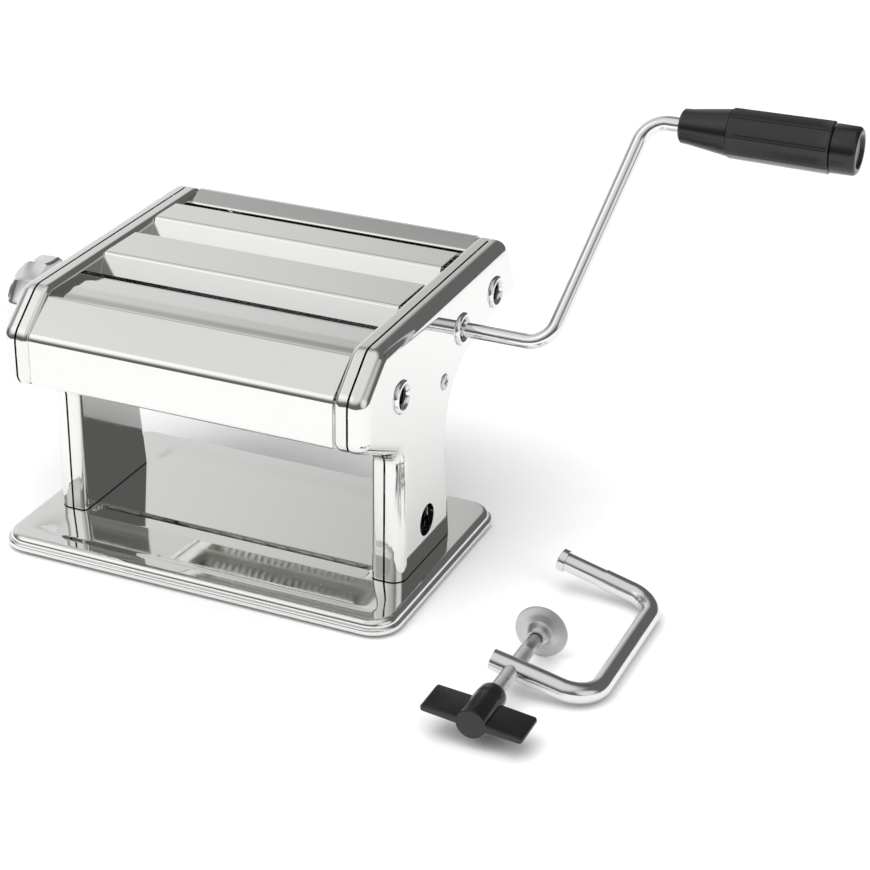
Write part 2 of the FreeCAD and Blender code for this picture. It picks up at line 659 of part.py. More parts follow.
# The foot plates that close the hollow legs, and the screws that hold them from below
for side, sign, name in (("Right", "", "right"), ("Left", "-", "left")):
    inside, outside = "web_x + sheet", "face_x - face_round"
    plate = block("Plate" + side, inside if not sign else "-(%s)" % outside,
                  outside if not sign else "-(%s)" % inside,
                  "toe_y + web_round", "heel_y - web_round - foot_inset", "tray_top",
                  "tray_top + foot_plate")
    holes = [upright_tool("PlateHole%s%d" % (side, i), "base_screw_r", x, y, "tray_top - 1",
                          "tray_top + foot_plate + 1")
             for i, (x, y) in enumerate(foot_screws) if x.startswith("-") == bool(sign)]
    keep(cut("FootPlate" + side, plate, holes), "foot_plate_" + name)
screws = []
for i, (x, y) in enumerate(foot_screws):
    screws.append(turned("BaseScrew%d" % i,
                         [("tray_top - sheet - base_head", "0"),
                          ("tray_top - sheet - base_head", "base_screw_r * 1.5"),
                          ("tray_top - sheet - base_head + 0.6", "base_screw_r * 2"),
                          ("tray_top - sheet", "base_screw_r * 2"), ("tray_top - sheet", "base_screw_r"),
                          ("tray_top + foot_plate + 1.5", "base_screw_r"),
                          ("tray_top + foot_plate + 1.5", "0")],
                         x=x, y=y, axis=V(0, 1, 0), angle="-90"))
keep(group("BaseScrews", screws), "base_screws")


def bush(name, y, z, journal, side):
    """A bearing bush: a flange against the inside of an inner frame, a neck through it."""
    inner, outer = "web_x - bush_flange", "web_x + bush_tail"
    bore, wall, rim = journal + " + running", journal + " + bush_wall", journal + " + bush_rim"
    points = [(inner, bore), (inner, rim), ("web_x", rim), ("web_x", wall), (outer, wall), (outer, bore)]
    if side == "left":
        points = [("-(%s)" % x, r) for x, r in points]
    return turned(name, points, y, z)


# Six bushes on each side, less the one whose place the adjustable roller's neck takes
keep(group("BushesRight", [bush("BushRight" + n, y, z, j, "right") for n, y, z, j in shafts]),
     "bearing_bushes_right")
left_bushes = [bush("BushLeft" + n, y, z, "small_journal", "left") for n, y, z, j in shafts]
left_bushes.append(bush("BushDial", "dial_y", "dial_z", "dial_journal", "left"))
keep(group("BushesLeft", left_bushes), "bearing_bushes_left")

# Rings round the three crank holes of the right cover
rings = []
for n, y, z, j in shafts:
    if j == "big_journal":
        rings.append(turned("Ring" + n, [("face_x - sheet", "ring_bore"), ("face_x - sheet", "ring_neck"),
                                         ("face_x", "ring_neck"), ("face_x", "ring_r"),
                                         ("face_x + ring_proud - 0.5", "ring_r"),
                                         ("face_x + ring_proud", "ring_r - 0.5"),
                                         ("face_x + ring_proud", "ring_bore")], y, z))
keep(group("Rings", rings), "crank_hole_rings")
keep(tube("ClampSocket", "web_x + sheet", "clamp_socket_x", "socket_wall_r", "clamp_bore", "hole_y",
          "hole_z"), "clamp_socket")

# Posts between the two halves of each frame
post_spots = (("brow_y - 6", "nose_z - 15"), ("dial_y - 10.5", "brow_z - 10.5"),
              ("sheet_y + 21.5", "sheet_z - 3"), ("0", "waist_z - 8"))
posts = [tube("Post%d" % i, "web_x + sheet", "face_x - sheet", "post_r", "0", y, z)
         for i, (y, z) in enumerate(post_spots)]
right_posts = keep(group("PostsRight", posts), "cover_posts_right")
keep(mirror("PostsLeft", right_posts), "cover_posts_left")


def bent(name, points):
    """A bent sheet between the inner frames: a line in the YZ plane, given a thickness on one side."""
    body = new_body(name)
    count = len(points)
    spots = [V(value(y), value(z), 0) for y, z in points]
    sketch = new_sketch(body, "YZ_Plane")
    for i in range(count - 1):
        sketch.addGeometry(Part.LineSegment(spots[i], spots[i + 1]), False)
    for i in range(count - 2):
        sketch.addConstraint(Sketcher.Constraint("Coincident", i, 2, i + 1, 1))
    for i, (y, z) in enumerate(points):
        pin_point(sketch, min(i, count - 2), 1 if i < count - 1 else 2, y, z)
    doc.recompute()
    skin = doc.addObject("Part::Offset2D", name + "Skin")
    skin.Source = sketch
    skin.Mode = "Skin"
    skin.Join = "Intersection"
    skin.Fill = True
    bind(skin, "Value", "cover_sheet")
    wall = doc.addObject("Part::Extrusion", name + "Wall")
    wall.Base = skin
    wall.DirMode = "Custom"
    wall.Dir = V(1, 0, 0)
    wall.Solid = True
    wall.Symmetric = False
    bind(wall, "LengthFwd", "web_x")
    bind(wall, "LengthRev", "web_x")
    return wall


# The five sheets, each from its front or upper edge over its bends, tied to the corners of the frame
sheets_between = {
    "front_cover": ("FrontCover", [("brow_y + 1.5", "brow_z - 6.5"), ("brow_y - 0.5", "brow_z - 4.2"),
                                   ("nose_y + 1", "nose_z - 0.6"), ("chin_y + 1", "chin_z + 0.8"),
                                   ("chin_y + 6.5", "chin_z - 1.8")]),
    "rear_cover": ("RearCover", [("crown_y - 12.4", "crown_z - 6.5"), ("crown_y - 12", "crown_z - 4.9"),
                                 ("crown_y - 0.7", "crown_z - 0.7"), ("tail_y - 3", "tail_z + 4.5"),
                                 ("tail_y - 9", "tail_z + 0.2")]),
    "front_guide": ("FrontGuide", [("brow_y + 2.6", "brow_z - 8.5"), ("brow_y + 8", "brow_z - 5.9"),
                                   ("brow_y + 16", "brow_z - 5.0"), ("brow_y + 24", "brow_z - 6.2"),
                                   ("brow_y + 32.2", "brow_z - 9.2"), ("brow_y + 32.4", "brow_z - 10.9")]),
    "front_divider": ("FrontDivider", [("-3", "brow_z - 9.5"), ("2", "brow_z - 0.5"),
                                       ("31", "brow_z - 0.5"), ("24", "brow_z - 16.5")]),
    "rear_divider": ("RearDivider", [("44", "crown_z - 9.5"), ("49", "crown_z - 1"),
                                     ("69.5", "crown_z - 1"), ("67", "crown_z - 15.5")])}
for label, (name, points) in sheets_between.items():
    keep(bent(name, points), label)

# Tie rods under the dividers and inside the front cover, with a screw in each end
rod_spots = (("14", "brow_z - web_round - rod_head_r"), ("60", "crown_z - web_round - rod_head_r - 1"),
             ("nose_y + 10", "nose_z - 3.5"))
rods, rod_screws, rod_holes, rod_holes_left = [], [], [], []
for i, (y, z) in enumerate(rod_spots):
    rods.append(turned("TieRod%d" % i,
                       [("-web_x", "rod_screw_r"), ("-web_x + rod_screw_depth", "rod_screw_r"),
                        ("-web_x + rod_screw_depth", "0"), ("web_x - rod_screw_depth", "0"),
                        ("web_x - rod_screw_depth", "rod_screw_r"), ("web_x", "rod_screw_r"),
                        ("web_x", "tie_rod_r"), ("-web_x", "tie_rod_r")], y, z))
    for side in ("", "-"):
        points = [("web_x - rod_screw_depth + 1", "0"), ("web_x - rod_screw_depth + 1", "rod_screw_r"),
                  ("web_x + sheet", "rod_screw_r"), ("web_x + sheet", "rod_head_r"),
                  ("web_x + sheet + rod_head", "rod_head_r"), ("web_x + sheet + rod_head", "0")]
        rod_screws.append(turned("RodScrew%d%s" % (i, "L" if side else "R"),
                                 [("%s(%s)" % (side, x), r) for x, r in points], y, z))
    rod_holes.append(drill("RodHole%d" % i, "rod_screw_r + screw_slack", *web_cut, y=y, z=z))
    rod_holes_left.append(drill("RodHoleLeft%d" % i, "rod_screw_r + screw_slack", *left_web_cut, y=y, z=z))
keep(group("TieRods", rods), "tie_rods")
keep(group("RodScrews", rod_screws), "tie_rod_screws")
keep(cut("InnerRightDrilled", nodes["inner_frame_right"], rod_holes), "inner_frame_right")
keep(cut("InnerLeftDrilled", nodes["inner_frame_left"], rod_holes_left), "inner_frame_left")


def strip(name, y, z, way, near, far):
    """A strip between the frames, in a plane through an axis, from one radius to another."""
    body = new_body(name)
    half = "cover_sheet / 2"
    sketch = outline(new_sketch(body, "YZ_Plane", "-web_x"), [(near, "-" + half), (far, "-" + half),
                                                               (far, half), (near, half)])
    feature(body, "Pad", sketch, "2 * web_x")
    return put(body, "0", y, z, V(1, 0, 0), way)


# Scrapers under the sheet rollers
keep(strip("ScraperFixed", "sheet_y", "sheet_z", "-scraper_way", "sheet_r + comb_reach",
           "sheet_r + scraper_depth"), "sheet_scraper_fixed")
keep(strip("ScraperMoving", "dial_y", "dial_z", "-moving_scraper_way", "sheet_r + throw + comb_reach",
           "sheet_r + throw + scraper_depth - 1"), "sheet_scraper_moving")


def first_of(count, pitch):
    """Where a row of so many begins, when its middle is the machine's middle."""
    return "-(%s - 1) / 2 * %s" % (count, pitch)


def comb(name, y, z, way, core, disc, pitch, count):
    """A stripper: a strip with one tooth in every groove of a cutter."""
    body = new_body(name)
    half, tooth = "cover_sheet / 2", "(%s) / 2 - comb_slack" % pitch
    sketch = outline(new_sketch(body, "YZ_Plane", "-web_x"),
                     [(disc + " + comb_gap", "-" + half), (disc + " + comb_depth", "-" + half),
                      (disc + " + comb_depth", half), (disc + " + comb_gap", half)])
    feature(body, "Pad", sketch, "2 * web_x")
    start = "%s - (%s) / 2" % (first_of(count, pitch), tooth)
    sketch = outline(new_sketch(body, "XY_Plane", "-" + half),
                     [(start, core + " + comb_reach"), ("%s + %s" % (start, tooth), core + " + comb_reach"),
                      ("%s + %s" % (start, tooth), disc + " + 1"), (start, disc + " + 1")])
    finger = feature(body, "Pad", sketch, "2 * " + half)
    row = body.newObject("PartDesign::LinearPattern", name + "Row")
    row.Originals = [finger]
    row.Direction = (sketch, ["H_Axis"])
    bind(row, "Occurrences", count)
    bind(row, "Length", "%s * (%s - 1)" % (pitch, count))
    body.Tip = row
    doc.recompute()
    return put(body, "0", y, z, V(1, 0, 0), way)


def cutter(name, y, z, core, disc, pitch, count, driven):
    """A cutter: a core with square discs, each disc running in the groove of its mate."""
    journal = "small_journal" if driven else "big_journal"
    body = new_body(name)
    right = "stub_out" if driven else "journal_end"
    points = [("-stub_x", "0"), ("-stub_x", "small_journal"), ("-barrel_x", "small_journal"),
              ("-barrel_x", core), ("barrel_x", core), ("barrel_x", journal), (right, journal)]
    if driven:
        points.append((right, "0"))
    else:
        points += [(right, "socket_r"), ("socket_x", "socket_r"), ("socket_x", "0")]
    sketch = outline(new_sketch(body, "XY_Plane"), points)
    item = body.newObject("PartDesign::Revolution", name + "Revolution")
    item.Profile = sketch
    item.ReferenceAxis = (sketch, ["H_Axis"])
    item.Angle = 360
    doc.recompute()
    width = "(%s) / 2 - 2 * shear" % pitch
    sketch = new_sketch(body, "YZ_Plane", "%s - (%s) / 2" % (first_of(count, pitch), width))
    circle(sketch, "0", "0", disc)
    plate = feature(body, "Pad", sketch, width)
    row = body.newObject("PartDesign::LinearPattern", name + "Row")
    row.Originals = [plate]
    row.Direction = (sketch, ["N_Axis"])
    bind(row, "Occurrences", count)
    bind(row, "Length", "%s * (%s - 1)" % (pitch, count))
    body.Tip = row
    doc.recompute()
    put(body, "0", y, z)
    if driven:
        return body
    socket = drill(name + "Socket", "socket_r", "socket_x", "journal_end + 1", y=y, z=z)
    return cut(name + "Slotted", body, [socket, cross_slot(name + "Slot", y, z)])


def cross_slot(name, y, z):
    """The slot across a crank socket's mouth, for the crank's pin."""
    return block(name, "journal_end - slot_depth", "journal_end + 1", "%s - slot_w / 2" % y,
                 "%s + slot_w / 2" % y, "%s - big_journal - 1" % z, "%s + big_journal + 1" % z)


# The four cutters, and the comb under each of them with a finger for every groove
for name, label, y, z, kind, count, driven in (
        ("FrontCutter", "front_cutter_drive", "front_y", "front_z", "front", "front_discs", False),
        ("FrontMateCutter", "front_cutter_mate", "mate_front_y", "mate_front_z", "front",
         "(front_discs - 1)", True),
        ("RearCutter", "rear_cutter_drive", "rear_y", "rear_z", "rear", "rear_discs", False),
        ("RearMateCutter", "rear_cutter_mate", "mate_rear_y", "mate_rear_z", "rear",
         "(rear_discs - 1)", True)):
    keep(cutter(name, y, z, kind + "_core", kind + "_r", kind + "_pitch", count, driven), label)
for name, label, y, z, way, kind, count in (
        ("FrontComb", "front_comb_drive", "front_y", "front_z", "-comb_front", "front",
         "(front_discs - 1)"),
        ("FrontMateComb", "front_comb_mate", "mate_front_y", "mate_front_z", "-comb_front_mate", "front",
         "front_discs"),
        ("RearComb", "rear_comb_drive", "rear_y", "rear_z", "-comb_rear", "rear", "(rear_discs - 1)"),
        ("RearMateComb", "rear_comb_mate", "mate_rear_y", "mate_rear_z", "-comb_rear_mate", "rear",
         "rear_discs")):
    keep(comb(name, y, z, way, kind + "_core", kind + "_r", kind + "_pitch", count), label)

# The fixed sheet roller and the hollow adjustable one, which turns on the adjuster's sleeve
roller = turned("SheetRoller", [("-stub_x", "0"), ("-stub_x", "small_journal"),
                                ("-barrel_x", "small_journal"), ("-barrel_x", "sheet_r"),
                                ("barrel_x", "sheet_r"), ("barrel_x", "big_journal"),
                                ("journal_end", "big_journal"), ("journal_end", "socket_r"),
                                ("socket_x", "socket_r"), ("socket_x", "0")], "sheet_y", "sheet_z")
keep(cut("SheetRollerSlotted", roller, [cross_slot("SheetSlot", "sheet_y", "sheet_z")]), "sheet_roller_fixed")
sleeve_bore = "sleeve_r + running"
keep(turned("MovingRoller", [("-barrel_x", sleeve_bore), ("-barrel_x", "sheet_r"), ("barrel_x", "sheet_r"),
                             ("barrel_x", "neck_r"), ("gear_x", "neck_r"), ("gear_x", "hub_r"),
                             ("gear_end", "hub_r"), ("gear_end", sleeve_bore)], "moving_y", "moving_z"),
     "sheet_roller_adjustable")
keep(tube("Sleeve", "-barrel_x", "gear_end", "sleeve_r", "cam_r + running", "moving_y", "moving_z"),
     "eccentric_sleeve")


def gear(name, y, z, way, teeth, tip, root, bore, base_width, tip_width):
    """A gear on a shaft's journal: trapezoid teeth round a root circle."""
    body = new_body(name)
    sketch = new_sketch(body, "YZ_Plane", "gear_x")
    circle(sketch, "0", "0", root)
    circle(sketch, "0", "0", bore)
    feature(body, "Pad", sketch, "gear_end - gear_x")
    sketch = outline(new_sketch(body, "YZ_Plane", "gear_x"),
                     [("%s - 0.6" % root, "-(%s) / 2" % base_width), (tip, "-(%s) / 2" % tip_width),
                      (tip, "(%s) / 2" % tip_width), ("%s - 0.6" % root, "(%s) / 2" % base_width)])
    tooth = feature(body, "Pad", sketch, "gear_end - gear_x")
    ring = body.newObject("PartDesign::PolarPattern", name + "Ring")
    ring.Originals = [tooth]
    ring.Axis = (sketch, ["N_Axis"])
    ring.Angle = 360
    bind(ring, "Occurrences", teeth)
    body.Tip = ring
    doc.recompute()
    return put(body, "0", y, z, V(1, 0, 0), way)


# The three pairs of gears on the crank's side
for name, label, y, z, way, teeth, tip, root, bore, wide, narrow in (
        ("SheetGear", "sheet_gear_fixed", "sheet_y", "sheet_z", "sheet_way", "sheet_teeth",
         "long_tip", "long_root", "big_journal", "tooth_w", "tooth_tip_w"),
        ("MovingGear", "sheet_gear_adjustable", "moving_y", "moving_z",
         "sheet_way + 180 + 180 / sheet_teeth + mesh_bias", "sheet_teeth", "short_tip", "short_root", "hub_r",
         "tooth_w", "tooth_tip_w"),
        ("FrontGear", "front_gear_drive", "front_y", "front_z", "front_way", "front_teeth",
         "front_tip", "front_root", "big_journal", "tooth_w", "tooth_tip_w"),
        ("FrontMateGear", "front_gear_mate", "mate_front_y", "mate_front_z",
         "front_way + 180 + 180 / front_teeth", "front_teeth", "front_tip", "front_root", "small_journal",
         "tooth_w", "tooth_tip_w"),
        ("RearGear", "rear_gear_drive", "rear_y", "rear_z", "rear_way", "rear_teeth",
         "rear_tip", "rear_root", "big_journal", "fine_tooth_w", "fine_tip_w"),
        ("RearMateGear", "rear_gear_mate", "mate_rear_y", "mate_rear_z",
         "rear_way + 180 + 180 / rear_teeth", "rear_teeth", "rear_tip", "rear_root", "small_journal",
         "fine_tooth_w", "fine_tip_w")):
    keep(gear(name, y, z, way, teeth, tip, root, bore, wide, narrow), label)

# The adjuster: a shaft whose middle length is eccentric, with a flatted end for the knob
shaft = turned("AdjusterShaft", [("-shaft_out", "0"), ("-shaft_out", "square_r"), ("-dial_join", "square_r"),
                                 ("-dial_join", "dial_journal"), ("-web_x + cam_step", "dial_journal"),
                                 ("-web_x + cam_step", "0")], "dial_y", "dial_z")
cam = tube("AdjusterCam", "-web_x + cam_step", "cam_out", "cam_r", "0", "moving_y", "moving_z")
flats = [block("Flat%s" % n, "-shaft_out - 1", "-dial_join", "dial_y - square_r - 1",
               "dial_y + square_r + 1", low, high)
         for n, low, high in (("Top", "dial_z + flat", "dial_z + square_r + 1"),
                              ("Base", "dial_z - square_r - 1", "dial_z - flat"))]
shaft_tip = tube("AdjusterTip", "cam_out", "face_x - sheet", "dial_tip", "0", "dial_y", "dial_z")
keep(cut("AdjusterFlats", fuse("AdjusterParts", [shaft, cam, shaft_tip]), flats), "adjuster_shaft")
keep(turned("EndScrew", [("face_x - sheet", "0"), ("face_x - sheet", "end_head_r"),
                         ("face_x + end_head_out - 0.3", "end_head_r"),
                         ("face_x + end_head_out", "end_head_r - 0.3"), ("face_x + end_head_out", "0")],
            "dial_y", "dial_z"), "adjuster_end_screw")
keep(tube("AdjusterNut", "-shaft_out - nut_depth", "-shaft_out", "nut_r", "0", "dial_y", "dial_z"),
     "adjuster_nut")

# The index plate: a disc on the left cover with a notched half ring for the knob's pin
dial = new_body("Dial")
sketch = new_sketch(dial, "YZ_Plane", "-face_x - dial_depth")
circle(sketch, "0", "0", "dial_r")
circle(sketch, "0", "0", "dial_journal + running")
feature(dial, "Pad", sketch, "dial_depth")
sketch = new_sketch(dial, "YZ_Plane", "-face_x - dial_depth")
circle(sketch, "dial_ring", "0", "notch_r")
notch = feature(dial, "Pocket", sketch, "dial_depth - 0.6", Reversed=1)
ring = dial.newObject("PartDesign::PolarPattern", "DialRing")
ring.Originals = [notch]
ring.Axis = (sketch, ["N_Axis"])
ring.Angle = 180
bind(ring, "Occurrences", "notches")
dial.Tip = ring
doc.recompute()
slot_in, slot_out = "dial_ring - knob_pin_r - running", "dial_ring + knob_pin_r + running"
sketch = outline(new_sketch(dial, "XY_Plane"),
                 [("-face_x - dial_depth - 1", slot_in), ("-face_x - 0.6", slot_in),
                  ("-face_x - 0.6", slot_out), ("-face_x - dial_depth - 1", slot_out)])
slot = dial.newObject("PartDesign::Groove", "DialSlot")
slot.Profile = sketch
slot.ReferenceAxis = (sketch, ["H_Axis"])
slot.Angle = 180
dial.Tip = slot
doc.recompute()
put(dial, "0", "dial_y", "dial_z", V(1, 0, 0), "pin_way")
keep(dial, "knob_index_plate")

# The knob slides on the flats against a spring round the shaft
room_in, room_out = "-knob_in - knob_web", "-knob_out + knob_cap_depth"
knob_body = turned("Knob", [("-knob_in", "0"), ("-knob_in", "knob_neck_r - 1.2"),
                            ("-knob_in - 1.2", "knob_neck_r"),
                            ("-knob_out + knob_brim + 3.5", "knob_neck_r"),
                            ("-knob_out + knob_brim", "knob_r"),
                            ("-knob_out + 4.5", "knob_r"), ("-knob_out + 2", "knob_r - 1.5"),
                            ("-knob_out", "knob_face_r"), ("-knob_out", "0")], "dial_y", "dial_z")
room = tube("KnobRoom", "-knob_out - 1", room_in, "knob_room", "0", "dial_y", "dial_z")
bore = drill("KnobBore", "square_r + running", "-knob_out - 1", "1 - knob_in", "dial_y", "dial_z")
bore_flats = [block("BoreFlat" + n, "-knob_out - 2", "2 - knob_in", "dial_y - square_r - 2",
                    "dial_y + square_r + 2", low, high)
              for n, low, high in (("Top", "dial_z + flat + running", "dial_z + square_r + 2"),
                                   ("Base", "dial_z - square_r - 2", "dial_z - flat - running"))]
pin_hole = drill("KnobPinHole", "knob_pin_r", "-knob_in - pin_seat", "1 - knob_in", "pin_y", "pin_z")
keep(cut("KnobCut", knob_body, [cut("KnobBoreFlats", bore, bore_flats), room, pin_hole]), "knob")
keep(tube("KnobCap", "-knob_out", room_out, "knob_room", "0", "dial_y", "dial_z"), "knob_cap")
keep(tube("KnobPin", "-knob_in - pin_seat", "-pin_tip", "knob_pin_r", "0", "pin_y", "pin_z"), "knob_pin")

# The return spring between the knob's floor and the nut
spring = new_body("Spring")
sketch = new_sketch(spring, "XY_Plane")
circle(sketch, "0", "coil_r", "wire_r")
coil = spring.newObject("PartDesign::AdditiveHelix", "SpringCoil")
coil.Profile = sketch
coil.ReferenceAxis = (sketch, ["H_Axis"])
coil.Mode = 1
bind(coil, "Pitch", "(shaft_out - knob_in - knob_web - 2 * wire_r) / coils")
bind(coil, "Turns", "coils")
doc.recompute()
put(spring, "-shaft_out + wire_r", "dial_y", "dial_z")
keep(spring, "knob_spring")


def bent_rod(name, bends, radius, bend):
    """A bent rod: a path of straight lines and arcs in the XY plane, swept with a circle."""
    body = new_body(name)
    spots = [V(value(a), value(b), 0) for a, b in bends]
    r = value(bend)
    path = new_sketch(body, "XY_Plane")
    lines, arcs, start = [], [], spots[0]
    count = len(spots) - 1
    for i in range(count):
        path.addGeometry(Part.LineSegment(spots[i], spots[i + 1]), True)
    for i in range(count - 1):
        path.addConstraint(Sketcher.Constraint("Coincident", i, 2, i + 1, 1))
    for i, (a, b) in enumerate(bends):
        pin_point(path, min(i, count - 1), 1 if i < count else 2, a, b)
    for i in range(1, count):
        before = (spots[i] - spots[i - 1]).normalize()
        after = (spots[i + 1] - spots[i]).normalize()
        half = before.getAngle(after) / 2
        enter, leave = spots[i] - before * r * math.tan(half), spots[i] + after * r * math.tan(half)
        normal = V(-before.y, before.x, 0)
        if normal.dot(after) < 0:
            normal = normal * -1
        centre = enter + normal * r
        middle = centre + (spots[i] - centre).normalize() * r
        lines.append(path.addGeometry(Part.LineSegment(start, enter), False))
        arcs.append(path.addGeometry(Part.Arc(enter, middle, leave), False))
        start = leave
    lines.append(path.addGeometry(Part.LineSegment(start, spots[-1]), False))
    path.addConstraint(Sketcher.Constraint("Coincident", lines[0], 1, 0, 1))
    path.addConstraint(Sketcher.Constraint("Coincident", lines[-1], 2, count - 1, 2))
    path.addConstraint(Sketcher.Constraint("Parallel", lines[0], 0))
    path.addConstraint(Sketcher.Constraint("Parallel", lines[-1], count - 1))
    for i in range(1, count - 1):
        path.addConstraint(Sketcher.Constraint("Tangent", lines[i], i))
    cell, number = place(bend)
    for i, arc in enumerate(arcs):
        ends = [path.getPoint(arc, 1), path.getPoint(arc, 2)]
        line_end = path.getPoint(lines[i], 2)
        near, far = (1, 2) if (ends[0] - line_end).Length < (ends[1] - line_end).Length else (2, 1)
        path.addConstraint(Sketcher.Constraint("Tangent", lines[i], 2, arc, near))
        path.addConstraint(Sketcher.Constraint("Tangent", arc, far, lines[i + 1], 1))
        c = path.addConstraint(Sketcher.Constraint("Radius", arc, number))
        path.setExpression("Constraints[%d]" % c, cell)
    doc.recompute()
    section = body.newObject("Sketcher::SketchObject", name + "Section")
    section.AttachmentSupport = [(path, "Edge1")]
    section.MapMode = "NormalToEdge"
    cell, number = place(radius)
    index = section.addGeometry(Part.Circle(V(0, 0, 0), V(0, 0, 1), number), False)
    section.addConstraint(Sketcher.Constraint("Coincident", index, 3, -1, 1))
    c = section.addConstraint(Sketcher.Constraint("Radius", index, number))
    section.setExpression("Constraints[%d]" % c, cell)
    doc.recompute()
    pipe = body.newObject("PartDesign::AdditivePipe", name + "Pipe")
    pipe.Profile = section
    pipe.Spine = path
    doc.recompute()
    return body


# The crank with its cross pin, and the grip that turns on it
crank = bent_rod("CrankRod", [("crank_in", "0"), ("crank_bend_x", "0"),
                              ("crank_bend_x + crank_lean", "crank_throw"), ("grip_out", "crank_throw")],
                 "rod_r", "bend_r")
put(crank, "0", "sheet_y", "sheet_z", V(1, 0, 0), "crank_way")
pin_bore = doc.addObject("Part::Cylinder", "CrankPinBore")
cross_pin = doc.addObject("Part::Cylinder", "CrankPin")
for pin, reach in ((pin_bore, "rod_pin_reach + 1"), (cross_pin, "rod_pin_reach")):
    bind(pin, "Radius", "rod_pin_r")
    bind(pin, "Height", "2 * (%s)" % reach)
    bind(pin, "Placement.Base.x", "rod_pin_x")
    bind(pin, "Placement.Base.y", "sheet_y")
    bind(pin, "Placement.Base.z", "sheet_z - (%s)" % reach)
keep(cut("CrankDrilled", crank, [pin_bore]), "crank_rod")
keep(cross_pin, "crank_pin")

grip = turned("Grip", [("grip_in", "rod_r + running"), ("grip_in", "grip_small - 0.8"),
                       ("grip_in + 0.8", "grip_small"), ("grip_in + 9", "grip_small + 0.5"),
                       ("grip_swell - 3", "grip_mid - 0.5"), ("grip_swell", "grip_mid"),
                       ("grip_out - 1", "grip_large"), ("grip_out", "grip_large - 1"),
                       ("grip_out", "rod_r + running")])
sketch = new_sketch(grip, "YZ_Plane", "grip_swell + 2")
circle(sketch, "grip_large + flute_way", "0", "flute_r")
flute = feature(grip, "Pocket", sketch, "grip_out - grip_swell - 4", Reversed=1)
ring = grip.newObject("PartDesign::PolarPattern", "GripRing")
ring.Originals = [flute]
ring.Axis = (sketch, ["N_Axis"])
ring.Angle = 360
bind(ring, "Occurrences", "flutes")
grip.Tip = ring
doc.recompute()
put(grip, "0", "grip_y", "grip_z")
keep(grip, "grip")
keep(turned("GripCap", [("grip_out", "0"), ("grip_out", "grip_cap_r - 1.4"),
                        ("grip_out + 0.7", "grip_cap_r - 1.4"),
                        ("grip_out + 0.7", "grip_cap_r"), ("cap_out - 1.5", "grip_cap_r"),
                        ("cap_out", "grip_cap_r - 1.5"), ("cap_out", "grip_cap_r - 3"),
                        ("cap_out - 1.2", "grip_cap_r - 3.6"), ("cap_out - 1.2", "0")], "grip_y", "grip_z"),
     "grip_cap")

# The table clamp: a bent bar whose pin fits the frame's socket, lying on the table beside the machine
bar = bent_rod("ClampBar", [("-neck_start_u", "neck_start_v"), ("0", "bar_far"), ("0", "bar_near"),
                            ("-jaw_u", "jaw_v")], "bar_r", "bar_bend")
neck = turned("ClampNeck", [("0", "0"), ("0", "collar_r - 0.6"), ("0.6", "collar_r"),
                            ("collar_w", "collar_r"),
                            ("collar_w", "pin_r"), ("neck_length + 2", "pin_r"), ("neck_length + 2", "0")],
              "pin_v", "0", V(0, 0, 1), "pin_slope", "-pin_u")
joined = fuse("ClampBarJoined", [bar, neck])
screw_hole = doc.addObject("Part::Cylinder", "ClampScrewHole")
screw_hole.Placement = FreeCAD.Placement(V(0, 0, 0), FreeCAD.Rotation(V(1, 0, 0), -90))
bind(screw_hole, "Radius", "screw_r + running")
bind(screw_hole, "Height", "4 * bar_r + 20")
bind(screw_hole, "Placement.Base.x", "-screw_u")
bind(screw_hole, "Placement.Base.y", "jaw_v - 20")
clamp_bar = cut("ClampBarDrilled", joined, [screw_hole])
put(clamp_bar, "bar_x", "0", "bar_r", V(0, 1, 0), "bar_tilt")
keep(clamp_bar, "clamp_bar")


def along_y(name, points):
    """Turn a stepped profile, given as y and radius, about the clamp screw's axis."""
    return turned(name, points, "0", "screw_z", V(0, 0, 1), "90", "screw_x")


# The clamp screw with its pressure pad and its wing knob
keep(along_y("ClampScrew", [("hub_out + 4", "0"), ("hub_out + 4", "screw_r"), ("press_y - 9.5", "screw_r"),
                            ("press_y - 8.5", "screw_r - 0.6"), ("press_y - 2.4", "screw_r - 0.6"),
                            ("press_y - 2.4", "0")]), "clamp_screw")
keep(along_y("PressurePad", [("press_y", "0"), ("press_y", "press_r"), ("press_y - 1.4", "press_r"),
                             ("press_y - 2.4", "press_r - 3"), ("press_y - 3.4", "ball_r + 1.2"),
                             ("press_y - 7", "ball_r"), ("press_y - 7.6", "ball_r - 0.8"),
                             ("press_y - 7.6", "screw_r - 0.6 + running"),
                             ("press_y - 2.4 + running", "screw_r - 0.6 + running"),
                             ("press_y - 2.4 + running", "0")]), "clamp_pad")
hub = along_y("WingHub", [("hub_out", "0"), ("hub_out", "wing_hub_r - 0.8"), ("hub_out + 0.8", "wing_hub_r"),
                          ("hub_in - 1", "wing_hub_r - 0.6"), ("hub_in", "wing_hub_r - 1.4"),
                          ("hub_in", "0")])
wing = new_body("Wing")
sketch = outline(new_sketch(wing, "XY_Plane", "-wing_t / 2"),
                 [("-wing_span", "hub_out"), ("wing_span", "hub_out"), ("wing_span", "hub_out + wing_w"),
                  ("-wing_span", "hub_out + wing_w")])
feature(wing, "Pad", sketch, "wing_t")
round_edges(wing, lambda e: e.BoundBox.ZLength > 1, "2")
put(wing, "screw_x", "0", "screw_z", V(0, 1, 0), "wing_tilt")
screw_room = doc.addObject("Part::Cylinder", "WingBore")
screw_room.Placement = FreeCAD.Placement(V(0, 0, 0), FreeCAD.Rotation(V(1, 0, 0), -90))
bind(screw_room, "Radius", "screw_r")
bind(screw_room, "Height", "hub_in - hub_out - 3")
bind(screw_room, "Placement.Base.x", "screw_x")
bind(screw_room, "Placement.Base.y", "hub_out + 4")
bind(screw_room, "Placement.Base.z", "screw_z")
